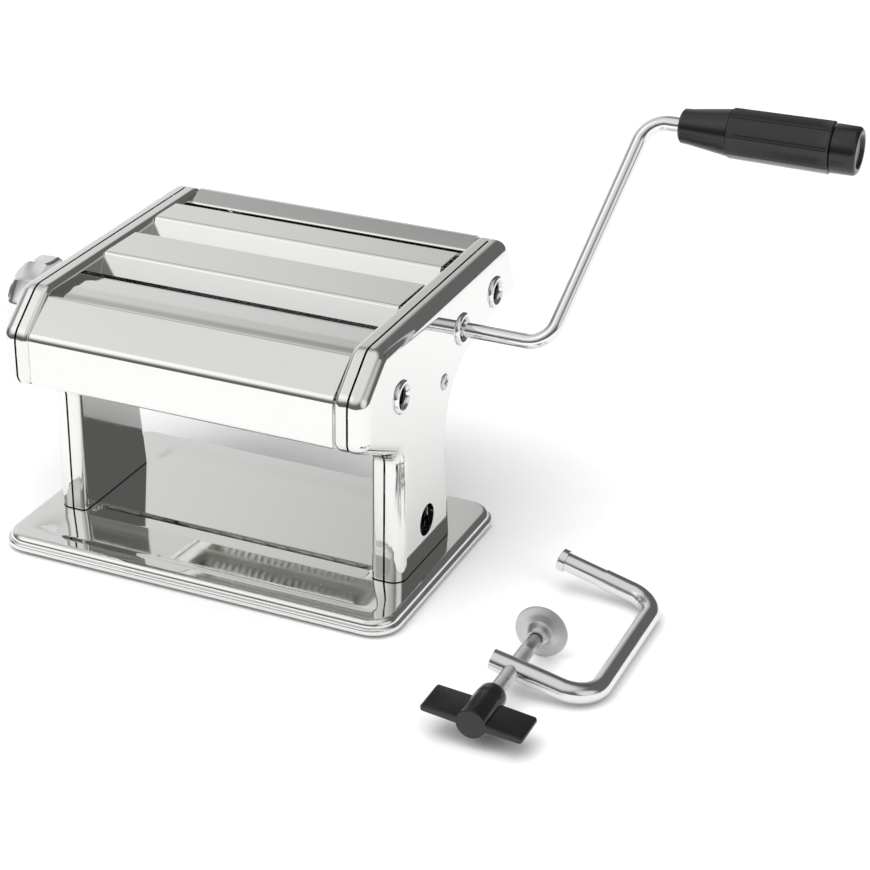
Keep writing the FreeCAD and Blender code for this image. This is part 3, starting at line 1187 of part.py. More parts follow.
keep(cut("WingKnobCut", fuse("WingKnobParts", [hub, wing]), [screw_room]), "wing_knob")

# Check every object, then write one file for each piece
doc.recompute()
for thing in doc.Objects:
    if "Invalid" in thing.State or "Error" in thing.State:
        raise RuntimeError("not computed: " + thing.Name)
os.makedirs("parts", exist_ok=True)
for label, thing in nodes.items():
    shape = thing.Shape
    if shape.isNull() or not shape.isValid() or not shape.Solids:
        raise RuntimeError("bad shape: " + label)
    shape.exportStep("parts/" + label + ".step")
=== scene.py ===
"""The looks of a hand cranked pasta machine, laid over its CAD frame."""

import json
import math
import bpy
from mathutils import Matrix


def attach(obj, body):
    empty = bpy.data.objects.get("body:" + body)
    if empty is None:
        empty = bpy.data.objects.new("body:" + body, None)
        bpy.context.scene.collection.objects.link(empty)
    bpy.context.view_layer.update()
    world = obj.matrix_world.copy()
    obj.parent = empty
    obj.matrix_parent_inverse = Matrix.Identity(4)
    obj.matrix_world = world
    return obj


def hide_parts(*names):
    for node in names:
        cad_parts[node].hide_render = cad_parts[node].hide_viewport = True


bl_info = {
    "name": "Pasta machine",
    "version": (1, 0, 0),
    "blender": (4, 5, 0),
    "location": "View3D > Sidebar > Pasta machine",
    "description": "Finishes and finer pieces for the pasta machine, its crank and its table clamp",
    "category": "Object",
}

import bmesh
import bpy
from mathutils import Matrix, Vector

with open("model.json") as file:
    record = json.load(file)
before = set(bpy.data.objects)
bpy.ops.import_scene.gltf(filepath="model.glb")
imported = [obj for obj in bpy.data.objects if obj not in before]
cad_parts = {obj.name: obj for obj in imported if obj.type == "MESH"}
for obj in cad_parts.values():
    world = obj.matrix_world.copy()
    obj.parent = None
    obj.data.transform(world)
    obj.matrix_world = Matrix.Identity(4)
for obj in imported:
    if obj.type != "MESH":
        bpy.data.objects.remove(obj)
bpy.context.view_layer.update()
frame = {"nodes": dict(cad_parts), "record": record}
MM = 0.001
# Places in millimetres: y and z of axes along X, then x and z of the clamp screw's axis along Y
DIAL_AXIS = (18.5, 90.6)
GRIP_AXIS = (97.07, 200.93)
CRANK_HOLES = ((-28.5, 103.2), (38.5, 109.0), (78.2, 112.4))
CLAMP_X, CLAMP_Z = 165.90, 12.22
WING_Y = -115.6
# The frames end this high above the table, so that a dark seam shows over the tray
FOOT_SEAM = 8.45
# The photograph's camera: angles in degrees, then what it looks at and how far off, in metres
VIEW_SIDE, VIEW_UP, VIEW_ROLL = 23.3, 26.4, 0.93
VIEW_TARGET, VIEW_DISTANCE = (0.0947, 0.0, 0.0727), 0.9995


# Colours and nodes

def linear(code):
    """Turn an sRGB hex code into linear RGBA."""
    channels = [int(code[i:i + 2], 16) / 255 for i in (1, 3, 5)]
    return [c / 12.92 if c <= 0.04045 else ((c + 0.055) / 1.055) ** 2.4 for c in channels] + [1.0]


def add_node(tree, kind, links=(), **settings):
    """Add a shader node, set its named sockets and properties, and link it."""
    node = tree.nodes.new(kind)
    for key, setting in settings.items():
        if key in node.inputs:
            node.inputs[key].default_value = setting
        else:
            setattr(node, key, setting)
    for source, socket in links:
        tree.links.new(source, node.inputs[socket])
    return node


def new_material(name):
    """An empty node material with its output."""
    material = bpy.data.materials.new(name)
    material.use_nodes = True
    material.node_tree.nodes.clear()
    output = add_node(material.node_tree, "ShaderNodeOutputMaterial")
    return material, material.node_tree, output


def ramp_of(tree, source, stops):
    """A colour ramp of grey stops, given as position and value."""
    node = add_node(tree, "ShaderNodeValToRGB", [(source, "Fac")])
    elements = node.color_ramp.elements
    elements[0].position, elements[0].color = stops[0][0], [stops[0][1]] * 3 + [1]
    elements[1].position, elements[1].color = stops[-1][0], [stops[-1][1]] * 3 + [1]
    for position, grey in stops[1:-1]:
        elements.new(position).color = [grey] * 3 + [1]
    return node


def metal(name, colour, low, high, grain_mm, grain, bump=0.0, stretch=(1, 1, 1)):
    """A metal whose roughness wanders between two values over a grain given in millimetres."""
    material, tree, output = new_material(name)
    where = add_node(tree, "ShaderNodeTexCoord")
    mapping = add_node(tree, "ShaderNodeMapping", [(where.outputs["Object"], "Vector")])
    mapping.inputs["Scale"].default_value = stretch
    noise = add_node(tree, "ShaderNodeTexNoise", [(mapping.outputs["Vector"], "Vector")],
                     Scale=1 / (grain_mm * MM), Detail=3.0, Roughness=0.55)
    rough = ramp_of(tree, noise.outputs["Fac"], [(0.3, low), (0.7, high)])
    shader = add_node(tree, "ShaderNodeBsdfPrincipled", [(rough.outputs["Color"], "Roughness")],
                      **{"Base Color": linear(colour), "Metallic": 1.0})
    if bump:
        wave = add_node(tree, "ShaderNodeTexNoise", [(mapping.outputs["Vector"], "Vector")],
                        Scale=1 / (grain * MM), Detail=2.0)
        relief = add_node(tree, "ShaderNodeBump", [(wave.outputs["Fac"], "Height")],
                          Strength=1.0, Distance=bump * MM)
        tree.links.new(relief.outputs["Normal"], shader.inputs["Normal"])
    tree.links.new(shader.outputs["BSDF"], output.inputs["Surface"])
    return material


def moulded(name, colour, rough, grain_mm, depth_mm, ior=1.5):
    """A moulded plastic or rubber with a fine grain."""
    material, tree, output = new_material(name)
    where = add_node(tree, "ShaderNodeTexCoord")
    noise = add_node(tree, "ShaderNodeTexNoise", [(where.outputs["Object"], "Vector")],
                     Scale=1 / (grain_mm * MM), Detail=4.0)
    relief = add_node(tree, "ShaderNodeBump", [(noise.outputs["Fac"], "Height")],
                      Strength=1.0, Distance=depth_mm * MM)
    tone = ramp_of(tree, noise.outputs["Fac"], [(0.3, rough - 0.05), (0.7, rough + 0.05)])
    shader = add_node(tree, "ShaderNodeBsdfPrincipled",
                      [(relief.outputs["Normal"], "Normal"), (tone.outputs["Color"], "Roughness")],
                      **{"Base Color": linear(colour), "IOR": ior})
    tree.links.new(shader.outputs["BSDF"], output.inputs["Surface"])
    return material


finishes = {}


def make_finishes():
    """Make every finish once, by the name of its slot in the record."""
    # Stainless sheet, mirror polished: sharp reflections, barely broken by polishing waves
    finishes["polished_steel"] = metal("Mirror polished stainless sheet", "#e4e4e2",
                                       0.03, 0.075, 9, 24, 0.004)
    # The same sheet left as rolled inside the frames
    finishes["frame_steel"] = metal("Bright rolled stainless sheet", "#e0e0de", 0.05, 0.1, 6, 24, 0.004)
    # Turned and ground rollers: fine rings round the axis
    finishes["roller_steel"] = metal("Ground steel rollers", "#e2e3e3", 0.38, 0.5, 1.2, 8, 0.0, (6, 0.4, 0.4))
    # Gear steel as cut, dull and greyer than the covers
    finishes["gear_steel"] = metal("Cut steel gears", "#9a9a98", 0.32, 0.45, 1.5, 8)
    # Bright chrome plate over rod and knob, sharper than the sheet
    finishes["chrome"] = metal("Bright chrome plate", "#e2e3e4", 0.02, 0.05, 14, 26, 0.002)
    # Zinc plate: greyer, with soft highlights
    finishes["screw_steel"] = metal("Zinc plated steel", "#cbcccd", 0.26, 0.4, 2, 6)
    # Plate over brushed bar: chrome whose highlights spread a little
    finishes["satin_chrome"] = metal("Satin chrome plate", "#dcdddd", 0.11, 0.17, 8, 20)
    # Pressed and tumbled disc: even grey with no clear reflections
    finishes["satin_steel"] = metal("Tumbled pressed steel", "#c6c7c6", 0.34, 0.44, 3, 9)
    # Tube inside the leg, painted dark grey as the shade deep in the clamp hole
    finishes["dark_steel"] = metal("Steel tube with painted hole shade", "#4a4a4a", 0.45, 0.6, 2, 6)
    # Undyed nylon, waxy
    finishes["bush_plastic"] = moulded("Natural nylon", "#e8e4d8", 0.45, 0.6, 0.01)
    finishes["comb_plastic"] = moulded("Natural nylon combs", "#ebe8de", 0.42, 0.6, 0.01)
    # Black moulded plastic, nearly glossy from the mould
    finishes["black_plastic"] = moulded("Black moulded plastic", "#161616", 0.22, 0.3, 0.004)
    # Soft black rubber, matt
    finishes["rubber"] = moulded("Black rubber", "#101010", 0.7, 0.8, 0.02)


def slot_of(node):
    """The record's material slot of a CAD node."""
    for entry in frame["record"]["subparts"]:
        if entry["node"] == node:
            return entry["material_slot"]
    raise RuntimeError("no slot for " + node)


def body_of_node(node):
    """The CAD body that a node belongs to."""
    for body, members in frame["record"]["behaviour"]["bodies"].items():
        if node in members:
            return body
    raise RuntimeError("no body for " + node)


def finish_piece(name, node, mesh, smooth, finish=None):
    """Turn a finished bmesh into a piece that stands for a CAD node and rides on its body."""
    slot = slot_of(node)
    data = bpy.data.meshes.new(name)
    limit = math.radians(smooth)
    for face in mesh.faces:
        face.smooth = True
    for edge in mesh.edges:
        if len(edge.link_faces) == 2 and edge.calc_face_angle(0) > limit:
            edge.smooth = False
    mesh.to_mesh(data)
    mesh.free()
    piece = bpy.data.objects.new(name, data)
    bpy.context.scene.collection.objects.link(piece)
    data.materials.append(finishes[finish or slot])
    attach(piece, body_of_node(node))
    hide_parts(node)
    return piece


def weighted(piece):
    """Keep large faces flat where a rounding meets them."""
    modifier = piece.modifiers.new("Even shading", "WEIGHTED_NORMAL")
    modifier.mode = "FACE_AREA"
    modifier.weight = 100
    modifier.keep_sharp = True


def sharp_edges(mesh, degrees, test=None):
    """The edges that turn by more than an angle, and pass a test."""
    limit = math.radians(degrees)
    return [e for e in mesh.edges if len(e.link_faces) == 2 and e.calc_face_angle(0) > limit
            and (test is None or test(e))]


def soften(mesh, edges, width, segments=3):
    """Round edges by a width in millimetres."""
    bmesh.ops.bevel(mesh, geom=edges, offset=width * MM, offset_type="OFFSET", segments=segments,
                    profile=0.5, affect="EDGES", clamp_overlap=True, material=-1)


def line_of(mesh, points):
    """Vertices joined into a line, from points in millimetres."""
    verts = [mesh.verts.new([c * MM for c in p]) for p in points]
    return verts + [mesh.edges.new(pair) for pair in zip(verts, verts[1:])]


def turned(profile, steps=64, round_off=0.0, degrees=25.0):
    """A body turned about X from points of distance along X and radius, its ring edges rounded."""
    mesh = bmesh.new()
    outline = line_of(mesh, [(x, 0, r) for x, r in profile])
    bmesh.ops.spin(mesh, geom=outline, cent=(0, 0, 0), axis=(1, 0, 0), dvec=(0, 0, 0),
                   angle=2 * math.pi, steps=steps, use_merge=True, use_normal_flip=False,
                   use_duplicate=False)
    bmesh.ops.remove_doubles(mesh, verts=mesh.verts, dist=0.001 * MM)
    bmesh.ops.dissolve_degenerate(mesh, dist=0.0005 * MM, edges=mesh.edges)
    bmesh.ops.recalc_face_normals(mesh, faces=mesh.faces)
    if round_off:
        rings = sharp_edges(mesh, degrees, lambda e: abs(e.verts[0].co.x - e.verts[1].co.x) < 1e-7)
        soften(mesh, rings, round_off)
    return mesh


def move(mesh, spot, turn=None):
    """Turn a mesh about the origin if asked, then carry it to a spot in millimetres."""
    if turn is not None:
        bmesh.ops.rotate(mesh, verts=mesh.verts, cent=(0, 0, 0), matrix=turn)
    bmesh.ops.translate(mesh, verts=mesh.verts, vec=[c * MM for c in spot])
    return mesh


def join(mesh, part):
    """Add a finished part to a mesh."""
    data = bpy.data.meshes.new("part")
    part.to_mesh(data)
    part.free()
    mesh.from_mesh(data)
    bpy.data.meshes.remove(data)


def bent_sheet(name, node, points, radii, thickness=0.8, half=75.5, outward=1):
    """A folded sheet between the frames: its inner line in y and z, a bend radius at each fold."""
    mesh = bmesh.new()
    line = line_of(mesh, [(-half, y, z) for y, z in points])
    walls = bmesh.ops.extrude_edge_only(mesh, edges=[e for e in line if isinstance(e, bmesh.types.BMEdge)])
    far = [v for v in walls["geom"] if isinstance(v, bmesh.types.BMVert)]
    bmesh.ops.translate(mesh, verts=far, vec=(2 * half * MM, 0, 0))
    mesh.normal_update()
    for (y, z), radius in zip(points[1:-1], radii):
        folds = [e for e in mesh.edges if len(e.link_faces) == 2
                 and abs(e.verts[0].co.y - y * MM) < 1e-6 and abs(e.verts[0].co.z - z * MM) < 1e-6]
        if radius and folds:
            width = radius * math.tan(folds[0].calc_face_angle(0.5) / 2)
            soften(mesh, folds, width, 8)
    bmesh.ops.recalc_face_normals(mesh, faces=mesh.faces)
    low = min(mesh.faces, key=lambda f: f.calc_center_median().y)
    if (low.normal.y > 0) == (outward > 0):
        bmesh.ops.reverse_faces(mesh, faces=mesh.faces)
    bmesh.ops.solidify(mesh, geom=mesh.faces[:], thickness=-thickness * MM)
    bmesh.ops.recalc_face_normals(mesh, faces=mesh.faces)
    soften(mesh, sharp_edges(mesh, 60), 0.15, 2)
    piece = finish_piece(name, node, mesh, 40)
    weighted(piece)
    return piece


def merged(node):
    """A copy of a CAD node's mesh with its seams merged."""
    mesh = bmesh.new()
    mesh.from_mesh(frame["nodes"][node].data)
    bmesh.ops.remove_doubles(mesh, verts=mesh.verts, dist=0.002 * MM)
    bmesh.ops.dissolve_degenerate(mesh, dist=0.0005 * MM, edges=mesh.edges)
    return mesh


def even_copy(node, smooth=28.0, mesh=None, finish=None):
    """The CAD node again, so that reflections run over its roundings unbroken."""
    mesh = mesh or merged(node)
    piece = finish_piece(node + "_finish", node, mesh, smooth, finish)
    weighted(piece)
    return piece


def slice_at(mesh, spot, way, **clear):
    """Cut a mesh along a plane through a spot in millimetres."""
    bmesh.ops.bisect_plane(mesh, geom=mesh.verts[:] + mesh.edges[:] + mesh.faces[:], dist=1e-7,
                           plane_co=[c * MM for c in spot], plane_no=way, **clear)


# Soft white panels of the studio: direction, angle of full light, angle where it ends, strength
PANELS = (((-0.12, -0.35, 0.93), 26, 57, 0.74),
          ((-0.75, 0.6, 0.28), 10, 44, 0.72),
          ((0.9, -0.3, 0.35), 8, 32, 0.8),
          ((-0.65, -0.5, 0.57), 8, 30, 0.4))
ROOM_GREY = 0.15
# Lamps: name, place, width and power
LAMPS = (("key", (-0.7, -1.0, 1.8), 1.6, 17.0), ("top", (0.1, 0.1, 2.2), 2.2, 22.0),
         ("side", (1.5, -0.6, 1.3), 1.2, 7.0), ("rear", (-0.5, 1.5, 1.5), 1.5, 4.0))
# Folded sheets: piece, node, inner line in y and z, bend radii at the folds
SHEETS = (
    ("front_cover_sheet", "front_cover",
     ((-44.5, 125.0), (-46.5, 127.3), (-65.0, 113.9), (-65.0, 91.8), (-59.5, 89.2)), (1.4, 4.2, 2.0)),
    ("rear_cover_sheet", "rear_cover",
     ((82.6, 127.0), (83.0, 128.6), (94.3, 132.8), (109.0, 108.0), (103.0, 103.7)), (0.6, 3.0, 2.0)),
    ("front_divider_sheet", "front_divider",
     ((-3.0, 122.0), (2.0, 131.0), (31.0, 131.0), (24.0, 115.0)), (1.6, 1.6)),
    ("rear_divider_sheet", "rear_divider",
     ((44.0, 124.0), (49.0, 132.5), (69.5, 132.5), (67.0, 118.0)), (1.6, 1.6)),
)


class PastaSizes(bpy.types.PropertyGroup):
    """Sizes and colours that a user would change."""

    floor_tone: bpy.props.FloatVectorProperty(
        name="Floor colour", description="Colour of the table under the machine",
        default=linear("#f6f6f6")[:3], subtype="COLOR", size=3)
    lens: bpy.props.FloatProperty(
        name="Lens", description="Focal length of the camera", default=91.53, unit="CAMERA")


class PASTA_OT_finishes(bpy.types.Operator):
    """Give every CAD node its finish"""
    bl_idname = "pasta.finishes"
    bl_label = "Finishes"

    def execute(self, context):
        make_finishes()
        for node, thing in frame["nodes"].items():
            thing.data.materials.clear()
            thing.data.materials.append(finishes[slot_of(node)])
        return {"FINISHED"}


# Nodes whose surface differs from the others of their slot; the clamp socket's dark steel is painted shade
# inside the clamp hole
OWN_FINISH = {"clamp_bar": "satin_chrome", "clamp_socket": "dark_steel"}


def copy_nodes(*nodes):
    """Even copies of CAD nodes whose solids already have their full shape."""
    for node in nodes:
        even_copy(node, finish=OWN_FINISH.get(node))


class PASTA_OT_rollers(bpy.types.Operator):
    """The sheet rollers and the two pairs of cutters"""
    bl_idname = "pasta.rollers"
    bl_label = "Rollers and cutters"

    def execute(self, context):
        copy_nodes("sheet_roller_fixed", "sheet_roller_adjustable", "eccentric_sleeve",
                   "front_cutter_drive", "front_cutter_mate", "rear_cutter_drive", "rear_cutter_mate")
        return {"FINISHED"}


class PASTA_OT_gears(bpy.types.Operator):
    """The gears at the ends of the rollers"""
    bl_idname = "pasta.gears"
    bl_label = "Gears"

    def execute(self, context):
        copy_nodes("sheet_gear_fixed", "sheet_gear_adjustable", "front_gear_drive", "front_gear_mate",
                   "rear_gear_drive", "rear_gear_mate")
        return {"FINISHED"}


class PASTA_OT_combs(bpy.types.Operator):
    """The bushes, and the combs and scrapers that clear the rollers"""
    bl_idname = "pasta.combs"
    bl_label = "Bushes, combs and scrapers"

    def execute(self, context):
        copy_nodes("bearing_bushes_right", "bearing_bushes_left", "front_comb_drive", "front_comb_mate",
                   "rear_comb_drive", "rear_comb_mate", "sheet_scraper_fixed", "sheet_scraper_moving")
        return {"FINISHED"}


class PASTA_OT_fasteners(bpy.types.Operator):
    """The rods, posts and screws that hold the frames together"""
    bl_idname = "pasta.fasteners"
    bl_label = "Rods, posts and screws"

    def execute(self, context):
        copy_nodes("tie_rods", "tie_rod_screws", "cover_posts_right", "cover_posts_left", "base_screws")
        return {"FINISHED"}


class PASTA_OT_feet(bpy.types.Operator):
    """The rubber pads, the plates in the legs and the clamp's socket"""
    bl_idname = "pasta.feet"
    bl_label = "Feet"

    def execute(self, context):
        copy_nodes("base_pads", "foot_plate_right", "foot_plate_left", "clamp_socket")
        return {"FINISHED"}


class PASTA_OT_adjuster(bpy.types.Operator):
    """The shaft of the adjuster and the small pieces inside its knob"""
    bl_idname = "pasta.adjuster"
    bl_label = "Thickness adjuster"

    def execute(self, context):
        copy_nodes("adjuster_shaft", "adjuster_nut", "knob_pin", "knob_spring", "knob_index_plate")
        return {"FINISHED"}


class PASTA_OT_crank(bpy.types.Operator):
    """The bent rod of the crank and its cross pin"""
    bl_idname = "pasta.crank"
    bl_label = "Crank"

    def execute(self, context):
        copy_nodes("crank_rod", "crank_pin")
        return {"FINISHED"}


class PASTA_OT_clamp_bar(bpy.types.Operator):
    """The bent bar of the table clamp"""
    bl_idname = "pasta.clamp_bar"
    bl_label = "Clamp bar"

    def execute(self, context):
        copy_nodes("clamp_bar")
        return {"FINISHED"}


class PASTA_OT_frames(bpy.types.Operator):
    """The four pressed halves of the side frames"""
    bl_idname = "pasta.frames"
    bl_label = "Side frames"

    def execute(self, context):
        for node in ("inner_frame_right", "inner_frame_left", "outer_cover_right", "outer_cover_left"):
            mesh = merged(node)
            slice_at(mesh, (0, 0, FOOT_SEAM), (0, 0, 1), clear_inner=True)
            even_copy(node, mesh=mesh)
        return {"FINISHED"}


class PASTA_OT_sheets(bpy.types.Operator):
    """The folded covers, plates and the front guide"""
    bl_idname = "pasta.sheets"
    bl_label = "Folded sheets"

    def execute(self, context):
        for name, node, points, radii in SHEETS:
            bent_sheet(name, node, points, radii)
        bent_sheet("front_guide_sheet", "front_guide",
                   ((-43.4, 123.0), (-38.0, 125.4), (-30.0, 126.6), (-22.0, 126.8), (-15.0, 126.2),
                    (-14.0, 124.6)), (18, 18, 18, 0.8), 0.7, 75.5, -1)
        return {"FINISHED"}


def ease(value, low, high):
    """Rise smoothly from 0 to 1 between two values."""
    t = min(1.0, max(0.0, (value - low) / (high - low)))
    return t * t * (3 - 2 * t)


# The tray's top, in millimetres: the flat that is made again, its height, and what is pressed into it
TRAY_X, TRAY_Y, TRAY_TOP = 93.0, 56.0, 8.0
CHANNEL_END, CHANNEL_REAR, CHANNEL_DEPTH = -29.5, -17.5, 2.3
STEP_START, STEP_END, STEP_DEPTH = 34.4, 37.8, 0.28
SLOPE_LENGTH, SLOPE_DEPTH = 22.0, 1.15


def tray_relief(x, y):
    """Depth in millimetres of the pressed channel, the rear step and the sloping front of the tray."""
    between = 1 - ease(abs(x), 69.5, 74.5)
    depth = STEP_DEPTH * ease(y, STEP_START, STEP_END) * (1 - ease(y, 42, 55)) * between
    if CHANNEL_END < y < CHANNEL_REAR:
        across = (y - CHANNEL_END) / (CHANNEL_REAR - CHANNEL_END)
        depth += CHANNEL_DEPTH * math.sin(math.pi * across) * between
    if y < CHANNEL_END:
        fall = min(1.0, (CHANNEL_END - y) / SLOPE_LENGTH)
        depth += SLOPE_DEPTH * fall * ease(y, -55.9, -50.5) * (1 - ease(abs(x), 78, 92))
    return depth


class PASTA_OT_tray(bpy.types.Operator):
    """The tray with its bead, its rim and the pressed channels of its top"""
    bl_idname = "pasta.tray"
    bl_label = "Tray"

    def execute(self, context):
        mesh = merged("base_tray")
        for sign in (-1, 1):
            slice_at(mesh, (sign * TRAY_X, 0, 0), (1, 0, 0))
            slice_at(mesh, (0, sign * TRAY_Y, 0), (0, 1, 0))
        middle = []
        for face in mesh.faces:
            spot = face.calc_center_median() / MM
            if abs(spot.x) < TRAY_X and abs(spot.y) < TRAY_Y and abs(spot.z - TRAY_TOP) < 0.01:
                middle.append(face)
        bmesh.ops.delete(mesh, geom=middle, context="FACES")
        grid = bmesh.ops.create_grid(mesh, x_segments=124, y_segments=224, size=0.5)
        bmesh.ops.scale(mesh, verts=grid["verts"], vec=(2 * TRAY_X * MM, 2 * TRAY_Y * MM, 1))
        for vert in grid["verts"]:
            vert.co.z = (TRAY_TOP - tray_relief(vert.co.x / MM, vert.co.y / MM)) * MM
        even_copy("base_tray", 24, mesh)
        return {"FINISHED"}


def wave_radius(mesh, low, high, fade, count, phase, depth, groove=0.0):
    """Press flats or flutes round a turned body between two distances along X."""
    for vert in mesh.verts:
        along = vert.co.x / MM
        radius = math.hypot(vert.co.y, vert.co.z)
        if not low < along < high or radius < 1e-6:
            continue
        share = ease(along, low, low + fade) * (1 - ease(along, high - fade, high))
        turn = math.atan2(vert.co.z, vert.co.y) - phase
        offset = (turn * count / (2 * math.pi)) % 1.0 - 0.5
        dip = depth * (1 - (2 * abs(offset)) ** 2) + groove * max(0, 1 - (0.5 - abs(offset)) / 0.06)
        dip *= share * MM
        scale = (radius - dip) / radius
        vert.co.y *= scale
        vert.co.z *= scale


class PASTA_OT_grip(bpy.types.Operator):
    """The black grip with eight flats, and its cap"""
    bl_idname = "pasta.grip"
    bl_label = "Grip"

    def execute(self, context):
        profile = [(171.5, 3.6), (171.5, 7.0), (172.3, 7.8), (176.0, 8.1)]
        profile += [(176.0 + step, 8.1 + 2.6 * step / 18.5) for step in (6.0, 12.0, 18.0)]
        profile += [(194.4, 10.5), (194.8, 11.45)]
        profile += [(196.0 + 4.9 * step, 11.5 + 0.45 * step / 9) for step in range(10)]
        profile += [(240.3, 12.0), (241.0, 11.4), (241.0, 3.6), (171.5, 3.6)]
        mesh = turned(profile, 192)
        wave_radius(mesh, 194.6, 242.0, 0.01, 8, math.radians(123.75), 0.55, 0.5)
        move(mesh, (0, *GRIP_AXIS))
        finish_piece("grip_body", "grip", mesh, 24)
        cap = turned([(241.0, 0), (241.0, 9.2), (241.7, 9.2), (241.7, 11.05), (251.4, 10.9), (252.5, 10.3),
                      (253.0, 9.3), (253.0, 8.0), (252.7, 7.4), (251.9, 7.1), (251.7, 6.7),
                      (251.7, 0)], 96, 0.25)
        move(cap, (0, *GRIP_AXIS))
        finish_piece("grip_end", "grip_cap", cap, 30)
        return {"FINISHED"}


class PASTA_OT_knob(bpy.types.Operator):
    """The chromed thickness knob with a scalloped brim, and its cap"""
    bl_idname = "pasta.knob"
    bl_label = "Knob"

    def execute(self, context):
        profile = [(-94.6, 9.0), (-94.6, 15.1), (-95.8, 16.3), (-99.0, 16.3), (-99.6, 15.6), (-101.0, 15.6)]
        profile += [(-101.6, 16.3), (-112.8, 16.3), (-114.4, 17.6), (-116.5, 22.6), (-118.0, 23.5)]
        profile += [(-122.0, 23.5), (-126.5, 23.3), (-129.3, 22.0), (-131.6, 19.6), (-132.5, 17.4)]
        profile += [(-132.5, 14.0), (-131.9, 12.6), (-131.9, 9.2), (-129.6, 9.2), (-129.6, 9.0), (-94.6, 9.0)]
        mesh = turned(profile, 128, 0.3)
        wave_radius(mesh, -131.8, -113.5, 2.6, 12, 0.2, 1.3)
        move(mesh, (0, *DIAL_AXIS))
        finish_piece("knob_shell", "knob", mesh, 30)
        cap = turned([(-129.5, 0), (-129.5, 9.0), (-131.7, 9.0), (-132.2, 8.3), (-132.4, 5.0),
                      (-132.4, 0)], 64, 0.2)
        move(cap, (0, *DIAL_AXIS))
        finish_piece("knob_button", "knob_cap", cap, 30)
        return {"FINISHED"}


class PASTA_OT_rings(bpy.types.Operator):
    """The three pressed rings round the crank holes"""
    bl_idname = "pasta.rings"
    bl_label = "Crank hole rings"

    def execute(self, context):
        mesh = bmesh.new()
        for y, z in CRANK_HOLES:
            ring = turned([(89.8, 4.75), (89.8, 6.5), (91.0, 6.5), (91.0, 7.85), (91.5, 7.85), (92.3, 7.2),
                           (92.5, 6.5), (92.4, 5.9), (91.7, 5.3), (90.8, 4.75), (89.8, 4.75)], 64, 0.15)
            move(ring, (0, y, z))
            join(mesh, ring)
        finish_piece("crank_rings", "crank_hole_rings", mesh, 30)
        return {"FINISHED"}


def cross_recess(mesh, along, half, reach, depth):
    """Sink a cross into the faces that lie at one distance along X, round the X axis."""
    for edge in (-reach, -half, half, reach):
        slice_at(mesh, (0, edge, 0), (0, 1, 0))
        slice_at(mesh, (0, 0, edge), (0, 0, 1))
    floor = []
    for face in mesh.faces:
        spot = face.calc_center_median() / MM
        across, up = abs(spot.y), abs(spot.z)
        if abs(spot.x - along) < 0.01 and min(across, up) < half and max(across, up) < reach:
            floor.append(face)
    sunk = bmesh.ops.extrude_face_region(mesh, geom=floor)
    bmesh.ops.translate(mesh, verts=[v for v in sunk["geom"] if isinstance(v, bmesh.types.BMVert)],
                        vec=(-depth * MM, 0, 0))
    bmesh.ops.delete(mesh, geom=floor, context="FACES")


class PASTA_OT_end_screw(bpy.types.Operator):
    """The cross head screw in the end of the adjuster"""
    bl_idname = "pasta.end_screw"
    bl_label = "Adjuster end screw"

    def execute(self, context):
        mesh = turned([(89.8, 0), (89.8, 3.9), (91.2, 3.9), (91.6, 3.5), (91.8, 2.9), (91.8, 0)], 48, 0.08)
        cross_recess(mesh, 91.8, 0.45, 2.1, 0.9)
        move(mesh, (0, *DIAL_AXIS))
        finish_piece("end_screw_head", "adjuster_end_screw", mesh, 30)
        return {"FINISHED"}


ALONG_SCREW = Matrix.Rotation(math.radians(90), 3, "Z")


class PASTA_OT_clamp_screw(bpy.types.Operator):
    """The clamp's threaded screw"""
    bl_idname = "pasta.clamp_screw"
    bl_label = "Clamp screw"

    def execute(self, context):
        lead, crest, root, steps = 1.25, 3.4, 2.95, 32
        mesh = bmesh.new()
        start, turns = -120.3, 46
        ridge = ((0, root), (0.16, root), (0.44, crest), (0.6, crest), (0.88, root), (1, root))
        groove = line_of(mesh, [(start + share * lead, 0, radius) for share, radius in ridge])
        bmesh.ops.spin(mesh, geom=groove, cent=(0, 0, 0), axis=(1, 0, 0), dvec=(lead * MM / steps, 0, 0),
                       angle=2 * math.pi * turns, steps=steps * turns, use_merge=False,
                       use_normal_flip=False, use_duplicate=False)
        bmesh.ops.remove_doubles(mesh, verts=mesh.verts, dist=0.01 * MM)
        bmesh.ops.recalc_face_normals(mesh, faces=mesh.faces)
        shank = turned([(-120.5, 0), (-120.5, 2.9), (-64.0, 2.9), (-63.4, 3.2), (-53.3, 3.2), (-52.3, 2.8),
                        (-46.2, 2.8), (-46.2, 0)], 48, 0.1)
        join(mesh, shank)
        move(mesh, (CLAMP_X, 0, CLAMP_Z), ALONG_SCREW)
        finish_piece("clamp_thread", "clamp_screw", mesh, 35)
        return {"FINISHED"}


class PASTA_OT_clamp_pad(bpy.types.Operator):
    """The dished pressure pad with its ball seat"""
    bl_idname = "pasta.clamp_pad"
    bl_label = "Pressure pad"

    def execute(self, context):
        mesh = turned([(-43.8, 0), (-43.8, 11.6), (-44.1, 12.2), (-44.8, 12.2), (-45.1, 11.9), (-45.0, 9.6),
                       (-45.4, 8.2), (-46.0, 7.0), (-46.4, 5.9), (-47.4, 5.3), (-49.0, 5.0), (-50.4, 4.5),
                       (-51.2, 3.8), (-51.4, 3.3), (-51.4, 2.98), (-46.12, 2.98), (-46.12, 0)], 72, 0.12)
        move(mesh, (CLAMP_X, 0, CLAMP_Z), ALONG_SCREW)
        finish_piece("pad_disc", "clamp_pad", mesh, 30, "satin_steel")
        return {"FINISHED"}


